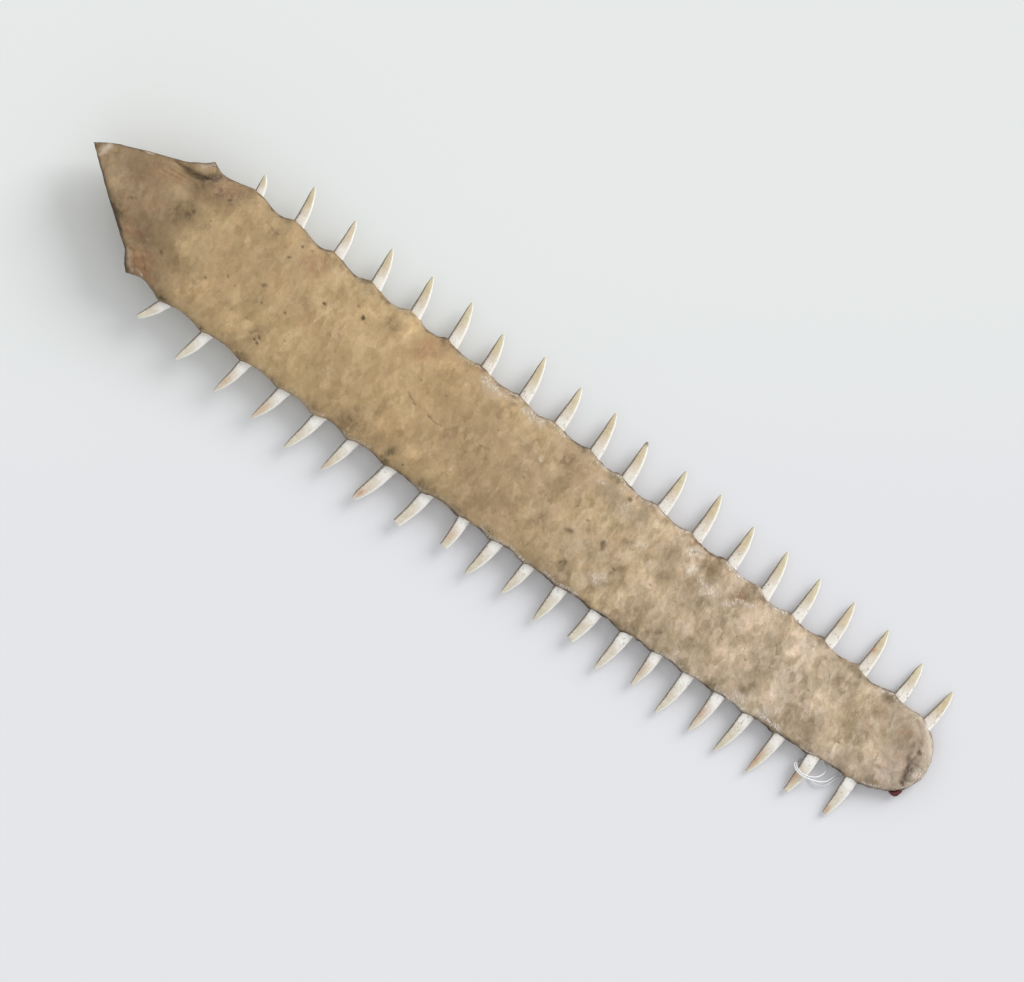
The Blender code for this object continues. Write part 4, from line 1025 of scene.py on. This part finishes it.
def make_skin():
    """Skin over the whole blade, with its marks as values that its material reads."""
    points, normal, side, top, from_edge = skin_grid()
    x, y = points[..., 0], points[..., 1]

    def rough(size, seed):
        return noise(points, size, seed)

    # Marks, at the pixels at which the photo shows them
    wander = [sum(reach * rough(size, seed + 2 * i) for i, (size, reach) in enumerate(WANDER))
              for seed in (21, 22)]
    px, py = (at + moved for at, moved in zip(seen_at(x, y), wander))
    exact = [at + FRAY[1] * rough(FRAY[0], seed) for at, seed in zip(seen_at(x, y), (25, 26))]
    marks = {name: spots(px, py, table) for name, table in MARKS.items()}
    for name, table in STROKES.items():
        marks[name] = np.maximum(marks.get(name, 0.0), strokes(*exact, table))
    marks = {name: top * mark for name, mark in marks.items()}
    dark = np.maximum(SPECK_STRENGTH * spots(*exact, SPECKS) * top, marks["dark"])
    band = strokes(px, py, TIP_BAND) * top * np.clip(1.0 + 0.5 * rough(2.2, 34), 0.3, 1.3)
    collar, stain = socket_marks(x, y, random.Random(SEED))
    lip, crease = fold_of_skin(x, y)
    wrinkles = strokes(x + 0.5 * wander[0], y + 0.5 * wander[1], [(*w[:5], 1.0) for w in WRINKLES])

    # Darker and paler borders, with painted shade along the edges and round the cut
    uneven = 0.75 + 0.5 * rough(3.0, 27)
    upper = side > 0
    edge_near = uneven * np.where(upper, *(strength * np.exp(-from_edge / reach)
                                           for strength, reach in BORDER))
    # Painted shade: a thin dark line along the edges, on the lower edge standing for its contact shadow
    painted_edge_shade = np.where(upper, EDGE_SHADE[0], EDGE_SHADE[1] * step_up(x, 120.0, 360.0))
    painted_edge_shade *= np.exp(-from_edge / EDGE_SHADE_REACH) * uneven * np.where(top > 0, 1.0, EDGE_SHADE_BELOW)
    crumbs = top * np.where(upper, *CRUMBS) * step_up(x, 60.0, 300.0)
    crumbs *= np.exp(-((from_edge - CRUMBS_IN) / CRUMBS_HALF) ** 2)
    crumbs *= np.clip(2.0 * rough(9.0, 28), 0.0, 1.0)
    end_worn = step_up(x, *WORN_FROM)
    from_cut = x - x[0]
    at_rim = np.exp(-from_cut / RIM_REACH)
    # Painted shadow of the cut's wall in a dark line along the cut
    painted_cut_shade = np.where(y < 4.0, *CUT_SHADE) * np.exp(-from_cut / CUT_SHADE_REACH)

    relief = sum(height * rough(size, 11 + i) for i, (size, height) in enumerate(RELIEF))
    relief *= np.interp(x, *np.array(RELIEF_ALONG, float).T)
    relief += COLLAR_HEIGHT * collar - SPECK_PIT * dark - BAND_PIT * band
    relief += top * (lip + strokes(x, y, WRINKLES) - CREASE_DEPTH * crease)
    relief += end_worn * WORN_ROUGH * rough(2.6, 31)
    relief += np.exp(-from_edge / 1.5) * np.interp(x, *np.array(EDGE_ROUGH).T) * rough(2.2, 32)
    relief = np.where(top > 0, relief, relief * UNDER_RELIEF) + RIM_ROUGH * rough(2.0, 33) * at_rim
    shaped = points + normal * relief[..., None]
    shaped[..., 0] += RIM_SHIFT * rough(3.0, 35) * at_rim
    shaped[..., 2] = np.clip(shaped[..., 2], REST_GAP, CAD_BOX[1][2] / MM)
    grid = np.stack([*turned_in(shaped[0]), *shaped])

    rows, columns = grid.shape[:2]
    faces, steps = grid_faces(rows, columns, True)
    faces = faces.tolist() + fan((rows - 1) * columns, columns, rows * columns)
    tip = (LENGTH - 0.05, 0.0, float(tooth_plane(np.array(LENGTH))))

    def value(*arrays, first=0.0, last=0.0):
        """Greatest of some arrays, with values for the turned-in rows and the tip's point."""
        most = np.maximum.reduce(arrays)
        return np.append(np.concatenate([np.full((2, columns), first), most]).ravel(), last)

    values = {
        "along": value(x / LENGTH, last=1.0),
        "brown": value(marks["brown"], 0.4 * stain),
        "red": value(marks["red"], 0.25 * wrinkles * top),
        "olive": value(marks["olive"], stain),
        "pale": value(marks["pale"]),
        "bare": value(np.minimum(marks["bare"], 1.0)),
        "white": value(marks["white"], crumbs, 0.35 * end_worn * step_up(x, 533.0, 541.0)),
        "grey": value(0.7 * marks["grey"], 0.3 * band),
        # Dark also carries painted shade: along the edges, round the cut and in the fold's crease
        "dark": np.clip(value(dark, painted_edge_shade, painted_cut_shade, 0.45 * band), 0.0, 0.95),
        "rim": value(edge_near, 0.5 * at_rim, marks["rim"], 0.7 * band, first=0.9, last=0.2),
    }
    skin = make_mesh("skin", skin_material(), np.vstack([grid.reshape(-1, 3), [tip]]), faces,
                     values, skin_map(steps, rows, columns))
    skin.data.set_sharp_from_angle(angle=SKIN_SHARP)
    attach(skin, "root")
    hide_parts("rostrum")


# Cut end

# Canals in the cartilage as (y, half width, half height)
CANALS = ((0.0, 4.5, 3.5), (15.0, 3.0, 2.7), (-15.0, 3.0, 2.7), (26.0, 2.2, 2.0), (-26.0, 2.2, 2.0))
CANAL_DEPTH = 7.0
CUT_RECESS, CUT_LEAST = 0.6, 0.15
CUT_COLUMNS, CUT_ROWS = 300, 56
CUT_ENDS = (57.5, 54.0)        # x at which the cut meets the upper and the lower edge
CUT_LAYER = 5.0                # depth at which the layers' colours end
# Roughness of the face as (size, height)
CUT_ROUGH = ((2.4, 0.22), (0.9, 0.10))


def make_cut_face():
    """Fibrous face inside the cut's rim, with its canals."""
    upper, lower = (float(edge(np.array(side), np.array(x))) - SKIN_EDGE / 2
                    for side, x in zip((1, -1), CUT_ENDS))
    y = np.linspace(upper, -lower, CUT_COLUMNS)
    x = cut_line(y)
    width = edge(np.sign(y + 1e-9), x)
    low, high = section_heights(x, np.minimum(np.abs(y), width - 0.2), width)
    low, high = low + SKIN_EDGE / 2, np.maximum(high - SKIN_EDGE / 2, low + SKIN_EDGE / 2 + 0.3)
    z = low + (high - low) * np.linspace(1.0, 0.0, CUT_ROWS)[:, None]
    slope = np.gradient(x, y)
    inward = np.stack([np.ones_like(slope), -slope], -1)
    inward /= np.linalg.norm(inward, axis=-1, keepdims=True)
    points = np.stack([np.broadcast_to(x, z.shape), np.broadcast_to(y, z.shape), z], -1)
    middle = tooth_plane(x)
    canal = np.zeros_like(z)
    for at_y, half_y, half_z in CANALS:
        far = np.hypot((y - at_y) / half_y, (z - middle) / half_z) + 0.12 * noise(points, 2.5, 51)
        canal = np.maximum(canal, 1.0 - step_up(far, 0.75, 1.1))
    from_skin = np.minimum(np.minimum(high - z, z - low), np.minimum(upper - y, y + lower))
    recess = CUT_RECESS * step_up(from_skin, 0.0, 0.8) + CANAL_DEPTH * canal
    for i, (size, height) in enumerate(CUT_ROUGH):
        recess += height * noise(points, size, 52 + i)
    points[..., :2] += inward * np.maximum(recess, CUT_LEAST)[..., None]
    faces, steps = (grid[:, ::-1] for grid in grid_faces(CUT_ROWS, CUT_COLUMNS, False))
    uv = np.stack([steps[..., 1] / CUT_COLUMNS * 0.98, steps[..., 0] / CUT_ROWS * 0.3], -1) + 0.01
    values = {"layer": np.clip(from_skin / CUT_LAYER, 0.0, 1.0), "canal": canal}
    face = make_mesh("cut_face", cut_material(), points.reshape(-1, 3), faces.tolist(), values, uv)
    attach(face, "root")
    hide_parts("rostrum")


# Teeth

# Points between two of the section's, rings of the bare tooth, and end and number of the root's
SECTION_STEPS, TOOTH_ROWS, ROOT_ROWS = 4, 26, (-0.4, 4)
NIB, BROKEN_NIB, NIB_ROWS = 0.45, 0.25, 5      # rounded end, whole or broken
# Broken end: sizes of its rings, roughness, slant, how far it falls back and is hollowed
BREAK_RINGS = (0.93, 0.62, 0.30)
BREAK_JAG, BREAK_SLANT, BREAK_BACK, BREAK_HOLLOW = 0.55, 0.16, 0.45, 0.5
# Heights of stripes along a tooth, of lumps, and of roughness with what it gains along the blade
STRIPES, LUMPS, ROUGHNESS = 0.05, 0.07, (0.02, 0.06)
# Chalky whitening of each row and its random spread; the lower row's larger share is partly painted
# light
CHALK_AND_LIGHT_UPPER, CHALK_AND_LIGHT_LOWER, CHALK_AND_LIGHT_SPREAD = 0.12, 0.60, 0.22
MAP_CELLS, MAP_GAP, MAP_CELL = 5, 0.01, 0.18   # teeth a row on the bake map, and their size there
# Teeth with a stained point: strength by number, and the shares of the length where it sets in
STAINED_UPPER, STAIN_START = {11: 0.75}, (0.86, 0.97)
# Teeth with rust: share of the length, place across, reach along, reach across and strength
RUSTY_UPPER = {18: (0.47, -0.6, 0.05, 0.3, 1.0)}
RUSTY_LOWER = {3: (0.65, -0.2, 0.25, 0.50, 0.35), 4: (0.70, -0.3, 0.25, 0.50, 0.40),
               6: (0.85, -0.2, 0.12, 0.60, 0.40), 7: (0.80, -0.1, 0.10, 0.45, 0.80),
               9: (0.60, -0.3, 0.30, 0.60, 0.35), 15: (0.50, -0.4, 0.25, 0.40, 0.30),
               17: (0.55, -0.4, 0.25, 0.35, 0.55), 19: (0.70, -0.4, 0.25, 0.45, 0.65),
               20: (0.62, -0.5, 0.22, 0.45, 0.50), 21: (0.90, -0.2, 0.12, 0.60, 0.60)}


def tooth_outline():
    """Closed smooth curve through the section's points."""
    points = np.array(TOOTH_SECTION, float)
    count = len(points)
    return np.array([curve_between(*(points[(i + k) % count] for k in (-1, 0, 1, 2)), t)
                     for i in range(count) for t in np.arange(SECTION_STEPS) / SECTION_STEPS])


def tooth_rows(length, width, taper, broken):
    """Distance out and relative size of each ring of one tooth."""
    nib = BROKEN_NIB if broken else min(NIB, width * taper[-1][1] * 0.6)
    out = np.concatenate([np.linspace(-TOOTH_ROOT, *ROOT_ROWS),
                          np.linspace(0.0, length - nib, TOOTH_ROWS)])
    size = smooth_through(taper, np.clip(out / length, 0.0, 1.0))
    turn = math.pi / 2 * np.arange(1, NIB_ROWS) / NIB_ROWS
    if broken:
        out = np.append(out, [length - 0.05, length] + [length] * len(BREAK_RINGS))
        size = np.append(size, size[-1] * np.array((0.985, 0.96) + BREAK_RINGS))
    else:
        out = np.append(out, length - nib + nib * np.sin(turn))
        size = np.append(size, size[-1] * np.cos(turn))
    return out, size


def make_tooth(side, number, place, length, lean, droop, width, taper, broken, key):
    """Points, faces, values and bake map of one tooth."""
    outline = tooth_outline()
    out, size = tooth_rows(length, width, taper, broken)
    rows, ring = len(out), len(outline)
    share = np.clip(out / length, 0.0, 1.0)[:, None]
    across = np.broadcast_to(outline[:, 0], (rows, ring))
    bow = TOOTH_BOW * length * np.sin(math.pi * share)
    half = width / 2 * size[:, None]
    points = np.stack([bow + half * across, np.broadcast_to(out[:, None], across.shape),
                       half * TOOTH_FLATNESS * outline[:, 1]], -1)
    age = place / LENGTH
    offset = np.array((37.0 * key, 11.0 * key, 5.0 * key))
    swell = STRIPES * noise(points * (1.0, 0.16, 1.0) + offset, 0.9, 61)
    swell += LUMPS * noise(points + offset, 3.4, 62)
    rough = (ROUGHNESS[0] + ROUGHNESS[1] * age) * (1.0 - 0.5 * share)
    swell += rough * noise(points + offset, 0.8, 63)
    radial = points * (1.0, 0.0, 1.0)
    radial[..., 0] -= bow
    radial /= np.maximum(np.linalg.norm(radial, axis=-1, keepdims=True), 0.2)
    points = points + radial * (swell * np.clip(size / 0.3, 0.2, 1.0)[:, None])[..., None]
    centre = np.array((bow[-1, 0], length, 0.0))
    if broken:
        face = points[-len(BREAK_RINGS) - 2:]
        jag = noise(face + offset, 1.6, 64) * BREAK_JAG
        face[..., 1] += jag + BREAK_SLANT * (face[..., 0] - bow[-len(face):]) - BREAK_BACK
        centre[1] -= BREAK_HOLLOW
    line, power = EDGES[0 if side > 0 else 1][:2]
    root = smooth_through(line, place) - ROOT_INSET
    if place > LENGTH - TIP_ROUND:
        root *= tip_factor(place, power)
    turn = np.array(Matrix.Translation((place, side * root, tooth_plane(place)))
                    @ Matrix.Diagonal((1.0, side, 1.0, 1.0))
                    @ Matrix.Rotation(math.radians(-lean), 4, "Z")
                    @ Matrix.Rotation(math.radians(-droop), 4, "X"))
    placed = np.vstack([points.reshape(-1, 3), centre]) @ turn[:3, :3].T + turn[:3, 3]
    quads, steps = grid_faces(rows, ring, True)
    uv = np.stack([steps[..., 1] / ring, steps[..., 0] / rows], -1)
    fan_uv = fan_map(ring, (rows - 1) / rows, 1.0).reshape(-1, 3, 2)
    faces = quads.tolist() + fan((rows - 1) * ring, ring, rows * ring)
    if side > 0:
        faces, uv, fan_uv = [f[::-1] for f in faces], uv[:, ::-1], fan_uv[:, ::-1]

    rust, stain = np.zeros((rows, ring)), np.zeros((rows, ring))
    rusty = (RUSTY_UPPER if side > 0 else RUSTY_LOWER).get(number)
    if rusty:
        at, where, along, wide, strength = rusty
        rust = strength * np.exp(-((share - at) / along) ** 2 - ((across - where) / wide) ** 2)
    if side > 0 and number in STAINED_UPPER:
        stain += STAINED_UPPER[number] * step_up(share, *STAIN_START)
    chalk_and_light = (CHALK_AND_LIGHT_UPPER if side > 0 else CHALK_AND_LIGHT_LOWER) + CHALK_AND_LIGHT_SPREAD * (7.0 * key % 1.0)
    values = {"out": (share, 1.0), "across": (across, 0.0), "chalk_and_light": (chalk_and_light, chalk_and_light), "age": (age, age),
              "pick": (key % 1.0, key % 1.0), "rust": (rust, 0.0), "stain": (stain, stain.max())}
    values = {name: np.append(np.broadcast_to(rings, across.shape).ravel(), at_point)
              for name, (rings, at_point) in values.items()}
    return placed, faces, values, np.vstack([uv.reshape(-1, 2), fan_uv.reshape(-1, 2)])


def make_teeth():
    """Both rows of teeth, each as one piece."""
    rng = random.Random(SEED)
    looks = random.Random(SEED + 1)
    material = tooth_material()
    sides = ((1, "upper_teeth", UPPER_TEETH, UPPER_LENGTH, UPPER_LEAN, UPPER_LEAN_OF),
             (-1, "lower_teeth", LOWER_TEETH, LOWER_LENGTH, LOWER_LEAN, LOWER_LEAN_OF))
    lower_tapers = {**dict.fromkeys(WORN_LOWER, WORN_TAPER), **dict.fromkeys(BROAD_LOWER, BROAD_TAPER),
                    **dict.fromkeys(BLUNT_LOWER, BLUNT_TAPER)}
    for side, name, places, lengths, leans, lean_of in sides:
        points, faces, uvs, values = [], [], [], {}
        first = 0
        for number, (place, length) in enumerate(zip(places, lengths), start=1):
            along = place / LENGTH
            lean = lean_of.get(number, leans[0] + (leans[1] - leans[0]) * along)
            droop = DROOP[0] + (DROOP[1] - DROOP[0]) * along
            width = float(tooth_width(place)) * (1.0 + SIZE_WOBBLE * rng.uniform(-1, 1))
            if side > 0 and number == 1:
                width *= SMALL_TOOTH
            taper = lower_tapers.get(number, TOOTH_TAPER) if side < 0 else TOOTH_TAPER
            broken = side < 0 and number in WORN_LOWER
            placed, corners, numbers, uv = make_tooth(side, number, place, length, lean, droop, width,
                                                      taper, broken, number + looks.random())
            points.append(placed)
            faces += [tuple(first + i for i in f) for f in corners]
            first += len(placed)
            cell = np.array(((number - 1) % MAP_CELLS, (number - 1) // MAP_CELLS)) / MAP_CELLS
            uvs.append(cell + MAP_GAP + MAP_CELL * uv)
            for key, numbers_of in numbers.items():
                values.setdefault(key, []).append(numbers_of)
        teeth = make_mesh(name, material, np.vstack(points), faces,
                          {k: np.concatenate(v) for k, v in values.items()}, np.vstack(uvs))
        teeth.data.set_sharp_from_angle(angle=TEETH_SHARP)
        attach(teeth, "root")
        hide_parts("rostrum")


# Flake of dried tissue

# Height and size of its rings, as shares
CHIP_RINGS = ((-0.5, 0.55), (-0.42, 0.86), (-0.15, 1.0), (0.15, 0.98), (0.38, 0.82), (0.5, 0.45))
CHIP_SIDE, CHIP_ROUGH = 9, 0.10


def make_chip():
    corners = np.array(CHIP_CORNERS)
    outline = np.concatenate([np.linspace(a, b, CHIP_SIDE, endpoint=False)
                              for a, b in zip(corners, np.roll(corners, -1, axis=0))])
    centre = corners.mean(0)
    points = np.array([[(*place, CHIP_HEIGHT + level * CHIP_THICKNESS)
                        for place in centre + (outline - centre) * size] for level, size in CHIP_RINGS])
    points += CHIP_ROUGH * np.stack([noise(points, 1.2, 71 + k) for k in range(3)], -1)
    rows, ring = points.shape[:2]
    middles = points[0].mean(0), points[-1].mean(0)
    faces = grid_faces(rows, ring, True)[0].tolist()
    faces += [face[::-1] for face in fan(0, ring, rows * ring)]
    faces += fan((rows - 1) * ring, ring, rows * ring + 1)
    points = np.vstack([points.reshape(-1, 3), middles])
    chip = make_mesh("tissue_flake", chip_material(), points, faces, {})
    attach(chip, "root")
    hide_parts("tip_chip")


make_camera()
make_loop()
make_light()
make_floor()
make_skin()
make_cut_face()
make_teeth()
make_chip()
